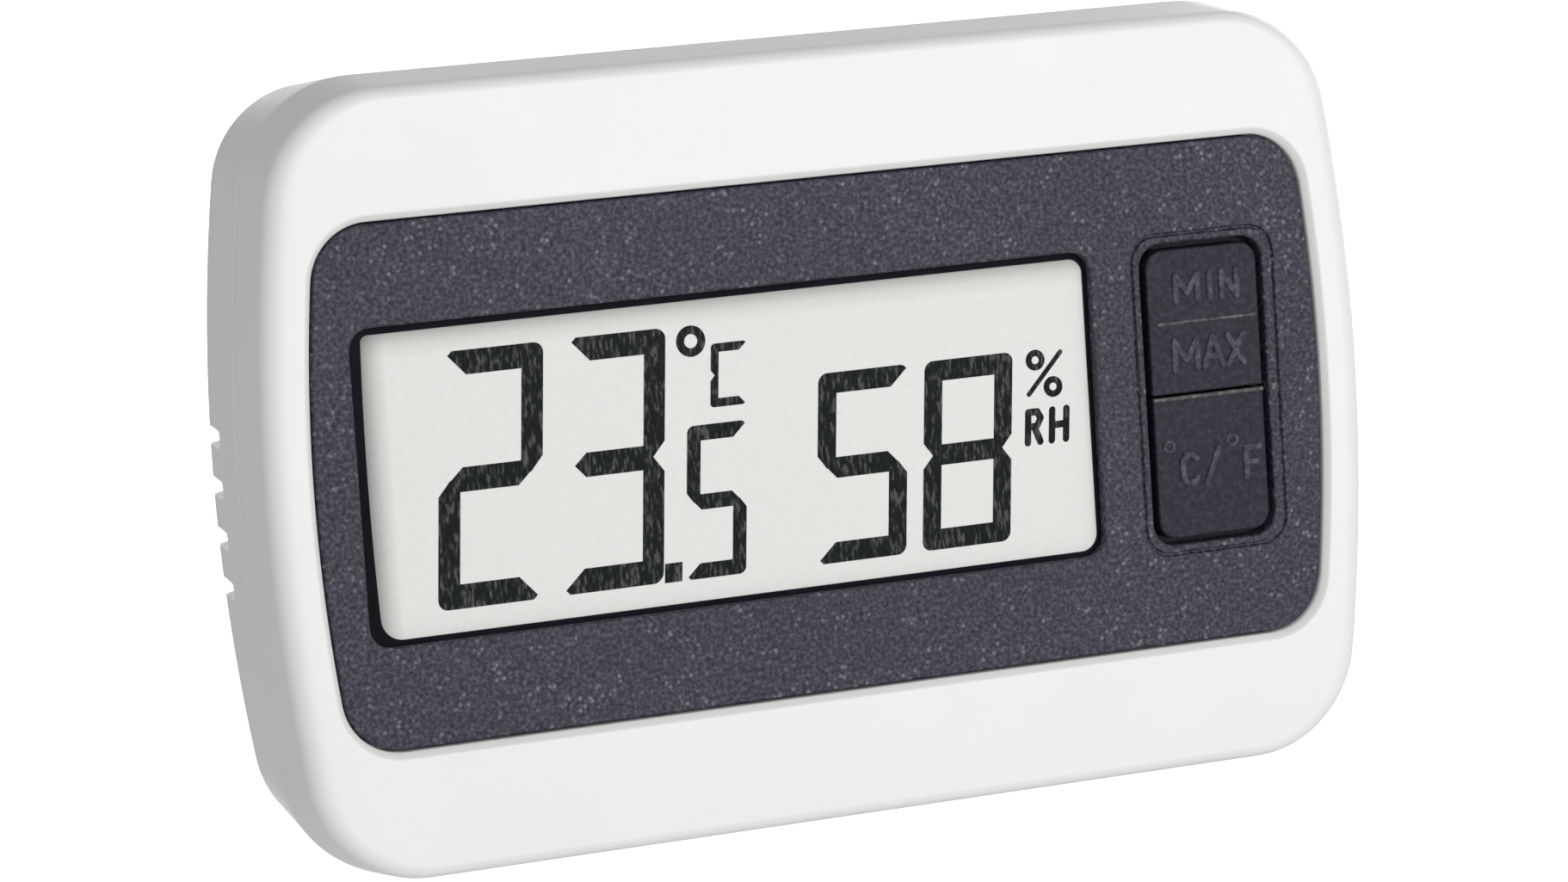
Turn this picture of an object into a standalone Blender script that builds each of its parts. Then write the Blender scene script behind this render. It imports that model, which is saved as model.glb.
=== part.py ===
"""Small digital maximum-minimum thermometer with a humidity reading.

A white two-part case holds a dark face panel, a segment display, two keys, a circuit board with
its sensors, and a button cell under a coin-slot cap. A leg folds out of the back.

Frame: X to the right as the reader sees the display, the front faces -Y, Z up. The origin lies
under the middle of the case, on the surface that it stands on. Sizes are in millimetres and are
turned into metres where a mesh is made.
"""

from math import atan2, cos, pi, radians, sin

import bmesh
import bpy

MM = 0.001

# Case
BODY_WIDTH = 59.6
BODY_HEIGHT = 39.5
BODY_DEPTH = 14.6
CORNER_RADIUS = 6.25
SIDE_BOW = 0.0054             # the sides bulge: x falls by this times z squared
FRONT_ROUND = 1.0             # depth of the rounded front edge
FRONT_ROUND_X = 1.2           # its width at the sides
FRONT_ROUND_Z = 0.7           # its width at the top and bottom
REAR_ROUND = 2.0
FRONT_DRAFT_X = 0.01          # inset per millimetre of depth
FRONT_DRAFT_Z = 0.106
REAR_DRAFT_X = 0.165
REAR_DRAFT_Z = 0.085
FRONT_INNER_DRAFT = 0.12      # the cavity narrows by this towards the front wall
REAR_INNER_DRAFT = 0.4        # and by this, past the outer draft, towards the rear wall
WALL = 1.5
FRONT_WALL = 2.4
REAR_WALL = 1.4
SEAM_Y = -2.6
SEAM_GAP = 0.12
FRONT_Y = -BODY_DEPTH / 2
REAR_Y = BODY_DEPTH / 2
MID_Z = BODY_HEIGHT / 2

# Face panel, placed from its own centre
PANEL_X = 0.0
PANEL_Z = MID_Z
PANEL_HALF_WIDTH = 27.32
PANEL_HALF_HEIGHT = 12.82
PANEL_RADIUS = 2.9
PANEL_BOW = 0.0060
PANEL_Y = FRONT_Y + 0.35
PANEL_THICK = 1.1
PANEL_FIT = 0.1
RIM_WIDTH = 0.4               # sloping rim of the case round the panel
RIM_DEPTH = 0.3
LEDGE_HALF_WIDTH = 26.15      # opening of the case behind the panel
LEDGE_HALF_HEIGHT = 11.55
LEDGE_RADIUS = 0.5
WINDOW = (-25.1, 14.6, -7.8, 7.8)          # left, right, bottom, top
WINDOW_RADIUS = 1.1
WINDOW_LIP = 0.5              # panel thickness round the window
KEY_OPENING = (17.4, 24.4, -7.75, 7.75)
KEY_OPENING_RADIUS = 1.2
PANEL_EDGE = 0.15             # broken edge of the panel
PAST = 1.0                    # how far a cutter runs past the face that it opens

# Keys
KEY_GAP = 0.33
KEY_SPLIT_Z = -0.08
KEY_SPLIT_GAP = 0.15
KEY_THICK = 1.3
KEY_CORNER_RADIUS = 0.3
FLANGE_THICK = 0.55
KEY_FLANGE = 0.8              # how far the hidden flange reaches past the cap
STEM_RADIUS = 1.3
KEY_TRAVEL = 0.3
SWITCH_HEIGHT = 1.6
PLUNGER_OUT = 0.6             # plunger showing in front of its switch
PLUNGER_RADIUS = 1.0
PLUNGER_IN = 0.5              # plunger held inside its switch
SWITCH_HALF_SIZE = 2.2

# Display stack, from front to back
GLASS = (-25.9, 15.9, -11.0, 9.0)
REAR_GLASS_BOTTOM = -8.9
FILM_EDGE = 0.5               # the films stop short of the glass edge
FILM_THICK = 0.2
GLASS_THICK = 0.7
STACK_GAP = 0.1
CONNECTOR = (-24.5, 14.5, -10.7, -9.3)
HOLDER = (-26.2, 16.2, -11.5, 10.0)
HOLDER_WALL = 0.6
HOLDER_SHELF = 0.9

# Circuit board
BOARD_FRONT_Y = -1.9
BOARD_THICK = 1.0
BOARD_HALF_HEIGHT = 15.6
BOARD_LEFT = -26.2
BOARD_RIGHT = 26.2
BOARD_NOTCH = (6.1, 4.8)        # corner cut, along X and Z
BOARD_SCREW_X = 14.0
BOARD_SCREW_Z = 13.9
BOARD_BOSS_RADIUS = 1.7
BOARD_SCREW_RADIUS = 0.65
BOARD_HOLE_RADIUS = 0.85
SOLDER_GAP = 0.05               # between the board and what is soldered on it
CHIP_HEIGHT = 0.6
BOARD_REAR_Y = BOARD_FRONT_Y + BOARD_THICK

# Case screws and their posts
CASE_SCREW_X = 23.2
CASE_SCREW_Z = 14.1
CASE_POST_RADIUS = 2.6
CASE_BOSS_RADIUS = 2.2
CASE_BOSS_END_Y = -1.95
CASE_POST_START_Y = -1.8
CASE_SCREW_RADIUS = 1.0
CASE_SCREW_TIP_Y = -4.7
BOARD_SCREW_TIP_Y = -4.8
SCREW_CLEARANCE = 0.12          # round a shank, in its pilot hole
COUNTERBORE_RADIUS = 2.15
COUNTERBORE_Y = 5.4
CASE_HEAD_RADIUS = 1.85
BOARD_HEAD_RADIUS = 1.3
CROSS_HALF_LENGTH = 0.95
CROSS_HALF_WIDTH = 0.2

# Lip of the rear cover, inside the front housing
LIP_PLAY = 0.15
LIP_THICK = 0.7
LIP_ROOT = 0.4                  # how far the lip's root reaches into the wall
LIP_FRONT_Y = SEAM_Y - 1.0
LIP_REAR_Y = SEAM_Y + 1.6

# Foot pads under the case
FOOT_X = 18.0
FOOT_HALF_WIDTH = 4.0
FOOT_HEIGHT = 1.1
FOOT_FRONT_Y = SEAM_Y + 0.3
FOOT_REAR_Y = 5.0

# Button cell, its bay and the cap over it
CELL_RADIUS = 5.8
CELL_HEIGHT = 5.4
BAY_X = 16.3
BAY_OUTER_RADIUS = 10.3
BAY_BORE_RADIUS = 6.25
BAY_WIDE_RADIUS = 9.3         # room for the cap's tabs
BAY_STEP_Y = 4.5
BAY_FLOOR_Y = -0.4
CAP_OPENING_RADIUS = 7.95
CAP_RADIUS = 7.75
CAP_SKIRT = (6.9, 7.6)
CAP_TAB_RADIUS = 8.9
CAP_TAB_HALF_ANGLE = radians(12)
CAP_TURN = radians(38)
CAP_TAB_THICK = 0.7
CAP_EDGE = 0.25
COIN_SLOT = (4.8, 0.65, 0.6)    # half length, half width and depth
DOOR_STEPS = 32
CELL_WINDOW_RADIUS = 4.3        # opening in the bay's floor for the spring contact
CONTACT_HALF_WIDTH = 1.3
CELL_REAR_Y = REAR_Y - REAR_WALL

# Fold-out leg
LEG_HALF_WIDTH = 6.0
LEG_THICK = 1.8
LEG_BOTTOM_Z = 6.0
HINGE_Y = 6.3
HINGE_Z = 27.0
TRUNNION_RADIUS = 0.8
TRUNNION_END = 7.0
RECESS_HALF_WIDTH = 6.25
RECESS_DEPTH = 2.05
RECESS_WALL = 1.55
LEG_PANEL = (-3.2, 3.2, 13.4, 21.8)         # shallow dish in the leg's face
LEG_PANEL_DEPTH = 0.6
KEYHOLE_RISE = 4.6              # keyhole above the hinge
KEYHOLE_RADIUS = 1.8
KEYHOLE_SLOT = (0.95, 3.6)      # half width and length

# Vents in the left rear edge
VENT_COUNT = 4
VENT_PITCH = 2.55
VENT_HEIGHT = 0.95
VENT_TOP_Z = PANEL_Z + 2.0
VENT_FRONT_Y = 2.7
VENT_INNER_X = -27.0

# Roundness
CORNER_STEPS = 7
SIDE_STEPS = 3
TOP_STEPS = 2
ROUND_STEPS = 4
TURN_STEPS = 24
SMALL_TURN_STEPS = 16


# ---------------------------------------------------------------- shapes as (vertices, faces)

def outline(half_width, half_height, radius, bow=0.0, centre=(0.0, 0.0)):
    """A rounded rectangle in X and Z whose left and right sides bulge, drawn by a rolling circle."""
    corner_z = half_height - radius
    quarter = []
    for i in range(SIDE_STEPS):
        z = corner_z * i / SIDE_STEPS
        angle = atan2(2 * bow * z, 1.0)
        quarter.append((half_width - radius - bow * z * z + radius * cos(angle),
                        z + radius * sin(angle)))
    corner_x = half_width - radius - bow * corner_z * corner_z
    start = atan2(2 * bow * corner_z, 1.0)
    for i in range(CORNER_STEPS + 1):
        angle = start + (pi / 2 - start) * i / CORNER_STEPS
        quarter.append((corner_x + radius * cos(angle), corner_z + radius * sin(angle)))
    for i in range(1, TOP_STEPS + 1):
        quarter.append((corner_x * (1 - i / TOP_STEPS), half_height))
    upper = quarter + [(-x, z) for x, z in reversed(quarter[:-1])]
    lower = [(x, -z) for x, z in reversed(upper[1:-1])]
    return [(centre[0] + x, centre[1] + z) for x, z in upper + lower]


def rounded_box(bounds, radius, centre=(0.0, 0.0)):
    """The outline of a left, right, bottom, top box with rounded corners."""
    left, right, bottom, top = bounds
    middle = (centre[0] + (left + right) / 2, centre[1] + (bottom + top) / 2)
    return outline((right - left) / 2, (top - bottom) / 2, radius, centre=middle)


def body_outline(inset_x, inset_z):
    """The case's outline, pulled in by a side and a top inset."""
    radius = max(CORNER_RADIUS - (inset_x + inset_z) / 2, 0.6)
    return outline(BODY_WIDTH / 2 - inset_x, BODY_HEIGHT / 2 - inset_z, radius, SIDE_BOW, (0.0, MID_Z))


def circle(centre, radius, steps=TURN_STEPS):
    return [(centre[0] + radius * cos(2 * pi * i / steps), centre[1] + radius * sin(2 * pi * i / steps))
            for i in range(steps)]


def sector(centre, inner, outer, middle_angle, half_angle, steps=6):
    """A piece of a flat ring."""
    angles = [middle_angle - half_angle + 2 * half_angle * i / steps for i in range(steps + 1)]
    points = [(centre[0] + outer * cos(a), centre[1] + outer * sin(a)) for a in angles]
    points += [(centre[0] + inner * cos(a), centre[1] + inner * sin(a)) for a in reversed(angles)]
    return points


def at_depth(points, y):
    return [(x, y, z) for x, z in points]


def loft(rings, joined=False):
    """Skin rings of equal length; the ends are capped, or joined to each other."""
    count = len(rings[0])
    vertices = [point for ring in rings for point in ring]
    faces = []
    last = len(rings) if joined else len(rings) - 1
    for r in range(last):
        low = r * count
        high = ((r + 1) % len(rings)) * count
        for i in range(count):
            j = (i + 1) % count
            faces.append((low + i, low + j, high + j, high + i))
    if not joined:
        faces.append(tuple(reversed(range(count))))
        faces.append(tuple(range((len(rings) - 1) * count, len(rings) * count)))
    return vertices, faces


def prism(points, y_front, y_rear):
    return loft([at_depth(points, y_front), at_depth(points, y_rear)])


def block(x0, x1, y0, y1, z0, z1):
    return prism([(x0, z0), (x1, z0), (x1, z1), (x0, z1)], y0, y1)


def turned(profile, centre, steps=TURN_STEPS, joined=False):
    """Turn a list of (radius, y) about an axis along Y."""
    return loft([at_depth(circle(centre, radius, steps), y) for radius, y in profile], joined)


def small_rod(centre, radius, y_front, y_rear):
    return prism(circle(centre, radius, SMALL_TURN_STEPS), y_front, y_rear)


def rod_along_x(x0, x1, y, z, radius, steps=SMALL_TURN_STEPS):
    points = circle((y, z), radius, steps)
    return loft([[(x, a, b) for a, b in points] for x in (x0, x1)])


def strip(path, z0, z1):
    """Extrude a closed X, Y path along Z."""
    return loft([[(x, y, z) for x, y in path] for z in (z0, z1)])


def together(*shapes):
    vertices = []
    faces = []
    for shape_vertices, shape_faces in shapes:
        start = len(vertices)
        vertices += shape_vertices
        faces += [tuple(start + i for i in face) for face in shape_faces]
    return vertices, faces


def four_corners(x, z):
    return [(sx * x, MID_Z + sz * z) for sx in (-1, 1) for sz in (-1, 1)]


# ---------------------------------------------------------------- Blender objects

def clear_scene():
    for obj in list(bpy.data.objects):
        bpy.data.objects.remove(obj, do_unlink=True)


def plastic(name, colour, roughness, metallic=0.0):
    material = bpy.data.materials.new(name)
    material.use_nodes = True
    shader = material.node_tree.nodes["Principled BSDF"]
    shader.inputs["Base Color"].default_value = (*colour, 1.0)
    shader.inputs["Roughness"].default_value = roughness
    shader.inputs["Metallic"].default_value = metallic
    return material


def solid(name, shape, material, origin=(0.0, 0.0, 0.0)):
    """Make an object whose own origin is at the given point."""
    vertices, faces = shape
    mesh = bpy.data.meshes.new(name)
    mesh.from_pydata([[(v[k] - origin[k]) * MM for k in range(3)] for v in vertices], [], faces)
    mesh.validate()
    orient(mesh)
    if material:
        mesh.materials.append(material)
    mesh.shade_smooth()
    mesh.set_sharp_from_angle(angle=radians(35))
    obj = bpy.data.objects.new(name, mesh)
    obj.location = [c * MM for c in origin]
    bpy.context.scene.collection.objects.link(obj)
    return obj


def orient(mesh):
    """Turn every face outwards."""
    work = bmesh.new()
    work.from_mesh(mesh)
    bmesh.ops.recalc_face_normals(work, faces=work.faces)
    work.to_mesh(mesh)
    work.free()


def combine(target, shape, operation):
    """Cut a shape out of an object, or join it on, with a hidden helper."""
    helper = solid(f"{target.name}_{operation.lower()}_{len(target.modifiers)}", shape, None)
    helper.hide_render = True
    helper.display_type = "WIRE"
    modifier = target.modifiers.new(helper.name, "BOOLEAN")
    modifier.operation = operation
    modifier.solver = "EXACT"
    modifier.object = helper


def join_on(target, *shapes):
    combine(target, together(*shapes), "UNION")


def cut(target, *shapes):
    combine(target, together(*shapes), "DIFFERENCE")


# ---------------------------------------------------------------- case

def round_over(radius, steps=ROUND_STEPS):
    """Depth from the flat face and inset along a quarter round, from the side to the face."""
    for i in range(steps + 1):
        angle = pi / 2 * i / steps
        yield radius * (1 - sin(angle)), radius * (1 - cos(angle))


def make_front_housing(material):
    seam_y = SEAM_Y - SEAM_GAP / 2
    wall_back_y = FRONT_Y + FRONT_WALL
    ledge_y = PANEL_Y + PANEL_THICK + PANEL_FIT
    straight = SEAM_Y - FRONT_Y - FRONT_ROUND
    panel = (PANEL_X, PANEL_Z)

    def panel_ring(grow, y):
        half_width, half_height = PANEL_HALF_WIDTH + grow, PANEL_HALF_HEIGHT + grow
        return at_depth(outline(half_width, half_height, PANEL_RADIUS + grow, PANEL_BOW, panel), y)

    def ledge_ring(y):
        return at_depth(outline(LEDGE_HALF_WIDTH, LEDGE_HALF_HEIGHT, LEDGE_RADIUS, 0.0, panel), y)

    rings = [at_depth(body_outline(0.0, 0.0), seam_y)]
    for depth, inset in round_over(FRONT_ROUND):
        inset_x = FRONT_DRAFT_X * straight + FRONT_ROUND_X * inset / FRONT_ROUND
        inset_z = FRONT_DRAFT_Z * straight + FRONT_ROUND_Z * inset / FRONT_ROUND
        rings.append(at_depth(body_outline(inset_x, inset_z), FRONT_Y + depth))
    rings.append(panel_ring(PANEL_FIT + RIM_WIDTH, FRONT_Y))
    rings.append(panel_ring(PANEL_FIT, FRONT_Y + RIM_DEPTH))
    rings.append(panel_ring(PANEL_FIT, ledge_y))
    rings.append(ledge_ring(ledge_y))
    rings.append(ledge_ring(wall_back_y))
    inner = WALL + FRONT_INNER_DRAFT
    rings.append(at_depth(body_outline(inner, inner), wall_back_y))
    rings.append(at_depth(body_outline(WALL, WALL), seam_y))
    housing = solid("front_housing", loft(rings, joined=True), material)

    case_corners = four_corners(CASE_SCREW_X, CASE_SCREW_Z)
    board_corners = four_corners(BOARD_SCREW_X, BOARD_SCREW_Z)
    root_y = wall_back_y - 0.5
    pegs = [small_rod(c, CASE_BOSS_RADIUS, root_y, CASE_BOSS_END_Y) for c in case_corners]
    pegs += [small_rod(c, BOARD_BOSS_RADIUS, root_y, BOARD_FRONT_Y - STACK_GAP) for c in board_corners]
    join_on(housing, *pegs)
    open_y = BOARD_REAR_Y
    pilots = [small_rod(c, CASE_SCREW_RADIUS + SCREW_CLEARANCE, CASE_SCREW_TIP_Y - STACK_GAP, open_y)
              for c in case_corners]
    pilots += [small_rod(c, BOARD_SCREW_RADIUS + SCREW_CLEARANCE, BOARD_SCREW_TIP_Y - STACK_GAP, open_y)
               for c in board_corners]
    cut(housing, *pilots)


def rear_rings():
    """Rings of the rear shell, from its inner floor round the seam to the rear face."""
    seam_y = SEAM_Y + SEAM_GAP / 2
    straight = REAR_Y - REAR_ROUND - SEAM_Y
    inset_x = REAR_DRAFT_X * straight
    inset_z = REAR_DRAFT_Z * straight
    floor_y = REAR_Y - REAR_WALL
    rings = [at_depth(body_outline(WALL + inset_x + REAR_INNER_DRAFT, WALL + inset_z + REAR_INNER_DRAFT), floor_y),
             at_depth(body_outline(WALL, WALL), seam_y),
             at_depth(body_outline(0.0, 0.0), seam_y)]
    for depth, inset in round_over(REAR_ROUND):
        rings.append(at_depth(body_outline(inset_x + inset, inset_z + inset), REAR_Y - depth))
    return rings


def make_rear_cover(material):
    cover = solid("rear_cover", loft(rear_rings()), material)
    corners = four_corners(CASE_SCREW_X, CASE_SCREW_Z)
    bay = (BAY_X, MID_Z)
    inner_y = REAR_Y - REAR_WALL

    # Lip that locates the cover in the front housing
    lip_outer = WALL + LIP_PLAY
    lip_inner = lip_outer + LIP_THICK
    root = WALL - LIP_ROOT
    profile = ((lip_outer, LIP_FRONT_Y), (lip_outer, SEAM_Y + 0.3), (root, SEAM_Y + 0.6),
               (root, LIP_REAR_Y), (lip_inner, LIP_REAR_Y), (lip_inner, LIP_FRONT_Y))
    join_on(cover, loft([at_depth(body_outline(inset, inset), y) for inset, y in profile], joined=True))

    # Screw posts, battery bay, leg recess and two foot pads
    join_on(cover, *[small_rod(c, CASE_POST_RADIUS, CASE_POST_START_Y, inner_y + 0.6) for c in corners])
    join_on(cover, prism(circle(bay, BAY_OUTER_RADIUS, DOOR_STEPS), BAY_FLOOR_Y, inner_y + 0.5))
    recess_y = REAR_Y - RECESS_DEPTH
    recess_outer = RECESS_HALF_WIDTH + RECESS_WALL
    recess_low = LEG_BOTTOM_Z - 1.8
    recess_high = HINGE_Z + LEG_THICK / 2 + 0.25
    join_on(cover, block(-recess_outer, recess_outer, recess_y - 1.0, inner_y + 0.5,
                         recess_low - 1.0, recess_high + 0.9))
    join_on(cover, *[block(x - FOOT_HALF_WIDTH, x + FOOT_HALF_WIDTH, FOOT_FRONT_Y, FOOT_REAR_Y, 0.0, FOOT_HEIGHT)
                     for x in (-FOOT_X, FOOT_X)])

    # Bay: bore for the cell, wider room for the tabs, opening with two tab notches
    mouth_y = inner_y - 0.3
    past_y = REAR_Y + PAST
    notch = CAP_TAB_HALF_ANGLE + radians(3)
    cut(cover, prism(circle(bay, BAY_BORE_RADIUS, DOOR_STEPS), BAY_FLOOR_Y + 0.4, BAY_STEP_Y + 0.2))
    cut(cover, prism(circle(bay, BAY_WIDE_RADIUS, DOOR_STEPS), BAY_STEP_Y, inner_y))
    cut(cover, prism(circle(bay, CAP_OPENING_RADIUS, DOOR_STEPS), mouth_y, past_y))
    cut(cover, *[prism(sector(bay, CAP_OPENING_RADIUS - 1.0, BAY_WIDE_RADIUS - 0.1, -CAP_TURN + turn, notch),
                       mouth_y, past_y) for turn in (0.0, pi)])
    cut(cover, prism(circle(bay, CELL_WINDOW_RADIUS), BAY_FLOOR_Y - PAST, BAY_FLOOR_Y + PAST))
    cut(cover, block(BAY_X - 7.0, BAY_X - 5.5, BAY_FLOOR_Y - PAST, BAY_STEP_Y - 0.5,
                     MID_Z - CONTACT_HALF_WIDTH - 0.5, MID_Z + CONTACT_HALF_WIDTH + 0.5))

    # Leg recess, its sockets, the keyhole, the screw holes and the vents
    cut(cover, block(-RECESS_HALF_WIDTH, RECESS_HALF_WIDTH, recess_y, past_y, recess_low, recess_high))
    socket = TRUNNION_END + 0.25
    cut(cover, *[rod_along_x(x0, x1, HINGE_Y, HINGE_Z, TRUNNION_RADIUS + 0.15)
                 for x0, x1 in ((-socket, -5.5), (5.5, socket))])
    keyhole_z = HINGE_Z + KEYHOLE_RISE
    slot_half, slot_length = KEYHOLE_SLOT
    slot = rounded_box((-slot_half, slot_half, keyhole_z, keyhole_z + slot_length), slot_half - 0.01)
    cut(cover, prism(circle((0.0, keyhole_z), KEYHOLE_RADIUS), inner_y - PAST, past_y))
    cut(cover, prism(slot, inner_y - PAST, past_y))
    cut(cover, *[small_rod(c, CASE_SCREW_RADIUS + 2 * SCREW_CLEARANCE, LIP_FRONT_Y, COUNTERBORE_Y + 0.2)
                 for c in corners])
    cut(cover, *[small_rod(c, COUNTERBORE_RADIUS, COUNTERBORE_Y, past_y) for c in corners])
    vents = []
    for i in range(VENT_COUNT):
        z = VENT_TOP_Z - i * VENT_PITCH
        vents.append(block(-BODY_WIDTH / 2 - PAST, VENT_INNER_X, VENT_FRONT_Y, past_y,
                           z - VENT_HEIGHT / 2, z + VENT_HEIGHT / 2))
    cut(cover, *vents)


def make_face_panel(material):
    centre = (PANEL_X, PANEL_Z)
    back_y = PANEL_Y + PANEL_THICK

    def ring(inset, y):
        points = outline(PANEL_HALF_WIDTH - inset, PANEL_HALF_HEIGHT - inset, PANEL_RADIUS - inset,
                         PANEL_BOW, centre)
        return at_depth(points, y)

    rings = [ring(PANEL_EDGE, PANEL_Y), ring(0.0, PANEL_Y + PANEL_EDGE), ring(0.0, back_y)]
    panel = solid("face_panel", loft(rings), material)
    left, right = PANEL_X + GLASS[0] - STACK_GAP, PANEL_X + GLASS[1] + STACK_GAP
    bottom, top = PANEL_Z + GLASS[2] - STACK_GAP, PANEL_Z + GLASS[3] + STACK_GAP
    cut(panel, block(left, right, PANEL_Y + WINDOW_LIP, back_y + PAST, bottom, top))
    cut(panel,
        prism(rounded_box(WINDOW, WINDOW_RADIUS, centre), PANEL_Y - PAST, back_y + PAST),
        prism(rounded_box(KEY_OPENING, KEY_OPENING_RADIUS, centre), PANEL_Y - PAST, back_y + PAST))


# ---------------------------------------------------------------- keys and switches

def key_places():
    """Name, bottom and top of each key, from the panel's centre."""
    low = KEY_OPENING[2] + KEY_GAP
    high = KEY_OPENING[3] - KEY_GAP
    half_gap = KEY_SPLIT_GAP / 2
    return (("min_max_key", "upper", KEY_SPLIT_Z + half_gap, high),
            ("unit_key", "lower", low, KEY_SPLIT_Z - half_gap))


def make_key(name, bottom, top, material):
    left = KEY_OPENING[0] + KEY_GAP
    right = KEY_OPENING[1] - KEY_GAP
    centre = (PANEL_X, PANEL_Z)
    middle = (PANEL_X + (left + right) / 2, PANEL_Z + (bottom + top) / 2)
    face = rounded_box((left, right, bottom, top), KEY_CORNER_RADIUS, centre)
    cap = prism(face, PANEL_Y, PANEL_Y + KEY_THICK)
    key = solid(name, cap, material, (middle[0], PANEL_Y, middle[1]))
    flange_y = PANEL_Y + PANEL_THICK + STACK_GAP
    flange_bottom = bottom if bottom > -KEY_SPLIT_GAP else bottom - KEY_FLANGE
    flange_top = top if top < KEY_SPLIT_GAP else top + KEY_FLANGE
    flange_left, flange_right = PANEL_X + left - KEY_FLANGE, PANEL_X + right + KEY_FLANGE
    join_on(key, block(flange_left, flange_right, flange_y, flange_y + FLANGE_THICK,
                       PANEL_Z + flange_bottom, PANEL_Z + flange_top))
    stem_end = switch_front_y() - PLUNGER_OUT - 0.05
    join_on(key, small_rod(middle, STEM_RADIUS, flange_y + FLANGE_THICK / 2, stem_end))
    return middle


def switch_front_y():
    return BOARD_FRONT_Y - SWITCH_HEIGHT


def make_switch(place, middle, black, grey):
    front = switch_front_y()
    half = SWITCH_HALF_SIZE
    base = solid(f"{place}_switch_base",
                 block(middle[0] - half, middle[0] + half, front, BOARD_FRONT_Y - SOLDER_GAP,
                       middle[1] - half, middle[1] + half), black)
    plunger_front = front - PLUNGER_OUT
    plunger_rear = front + PLUNGER_IN
    well_floor = plunger_rear + KEY_TRAVEL + STACK_GAP
    cut(base, small_rod(middle, PLUNGER_RADIUS + 0.13, front - PAST, well_floor))
    solid(f"{place}_switch_plunger", small_rod(middle, PLUNGER_RADIUS, plunger_front, plunger_rear),
          grey, (middle[0], plunger_front, middle[1]))


# ---------------------------------------------------------------- display

def make_display(materials):
    left, right = PANEL_X + GLASS[0], PANEL_X + GLASS[1]
    bottom, top = PANEL_Z + GLASS[2], PANEL_Z + GLASS[3]
    rear_bottom = PANEL_Z + REAR_GLASS_BOTTOM
    film = (left + FILM_EDGE, right - FILM_EDGE, rear_bottom + FILM_EDGE, top - FILM_EDGE)
    thin_gap = STACK_GAP / 2
    y = PANEL_Y + WINDOW_LIP + STACK_GAP
    solid("front_polarizer", block(film[0], film[1], y, y + FILM_THICK, film[2], film[3]), materials["film"])
    y += FILM_THICK + thin_gap
    solid("front_glass", block(left, right, y, y + GLASS_THICK, bottom, top), materials["glass"])
    connector_y = y + GLASS_THICK + STACK_GAP
    y += GLASS_THICK + thin_gap
    solid("rear_glass", block(left, right, y, y + GLASS_THICK, rear_bottom, top), materials["glass"])
    y += GLASS_THICK + thin_gap
    solid("rear_reflector", block(film[0], film[1], y, y + FILM_THICK, film[2], film[3]), materials["silver"])
    y += FILM_THICK + STACK_GAP
    make_lcd_holder(y, materials["holder"])
    c_left, c_right, c_bottom, c_top = CONNECTOR
    solid("elastomer_connector",
          block(PANEL_X + c_left, PANEL_X + c_right, connector_y, BOARD_FRONT_Y - STACK_GAP,
                PANEL_Z + c_bottom, PANEL_Z + c_top), materials["rubber"])


def make_lcd_holder(shelf_y, material):
    """A tray behind the glass, with legs on the board and a slot for the connector."""
    left, right = PANEL_X + HOLDER[0], PANEL_X + HOLDER[1]
    bottom, top = PANEL_Z + HOLDER[2], PANEL_Z + HOLDER[3]
    front = shelf_y - FILM_THICK - STACK_GAP / 2
    back = BOARD_FRONT_Y - STACK_GAP
    inside = (left + HOLDER_WALL, right - HOLDER_WALL)
    inside_z = (bottom + HOLDER_WALL, top - HOLDER_WALL)
    holder = solid("lcd_holder", block(left, right, front, back, bottom, top), material)
    cut(holder,
        block(*inside, front - PAST, shelf_y, *inside_z),
        block(*inside, shelf_y + HOLDER_SHELF, back + PAST, *inside_z))
    c_left, c_right, c_bottom, c_top = CONNECTOR
    play = 0.15
    cut(holder, block(PANEL_X + c_left - play, PANEL_X + c_right + play,
                      shelf_y - 0.5, shelf_y + HOLDER_SHELF + 0.5,
                      PANEL_Z + c_bottom - STACK_GAP, PANEL_Z + c_top + play))


# ---------------------------------------------------------------- board and electronics

def make_board(material):
    low = MID_Z - BOARD_HALF_HEIGHT
    high = MID_Z + BOARD_HALF_HEIGHT
    n, m = BOARD_NOTCH
    points = [(BOARD_LEFT + n, low), (BOARD_RIGHT - n, low), (BOARD_RIGHT - n, low + m), (BOARD_RIGHT, low + m),
              (BOARD_RIGHT, high - m), (BOARD_RIGHT - n, high - m), (BOARD_RIGHT - n, high),
              (BOARD_LEFT + n, high), (BOARD_LEFT + n, high - m), (BOARD_LEFT, high - m),
              (BOARD_LEFT, low + m), (BOARD_LEFT + n, low + m)]
    board = solid("circuit_board", prism(points, BOARD_FRONT_Y, BOARD_REAR_Y), material)
    cut(board, *[small_rod(c, BOARD_HOLE_RADIUS, BOARD_FRONT_Y - PAST, BOARD_REAR_Y + PAST)
                 for c in four_corners(BOARD_SCREW_X, BOARD_SCREW_Z)])


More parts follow.
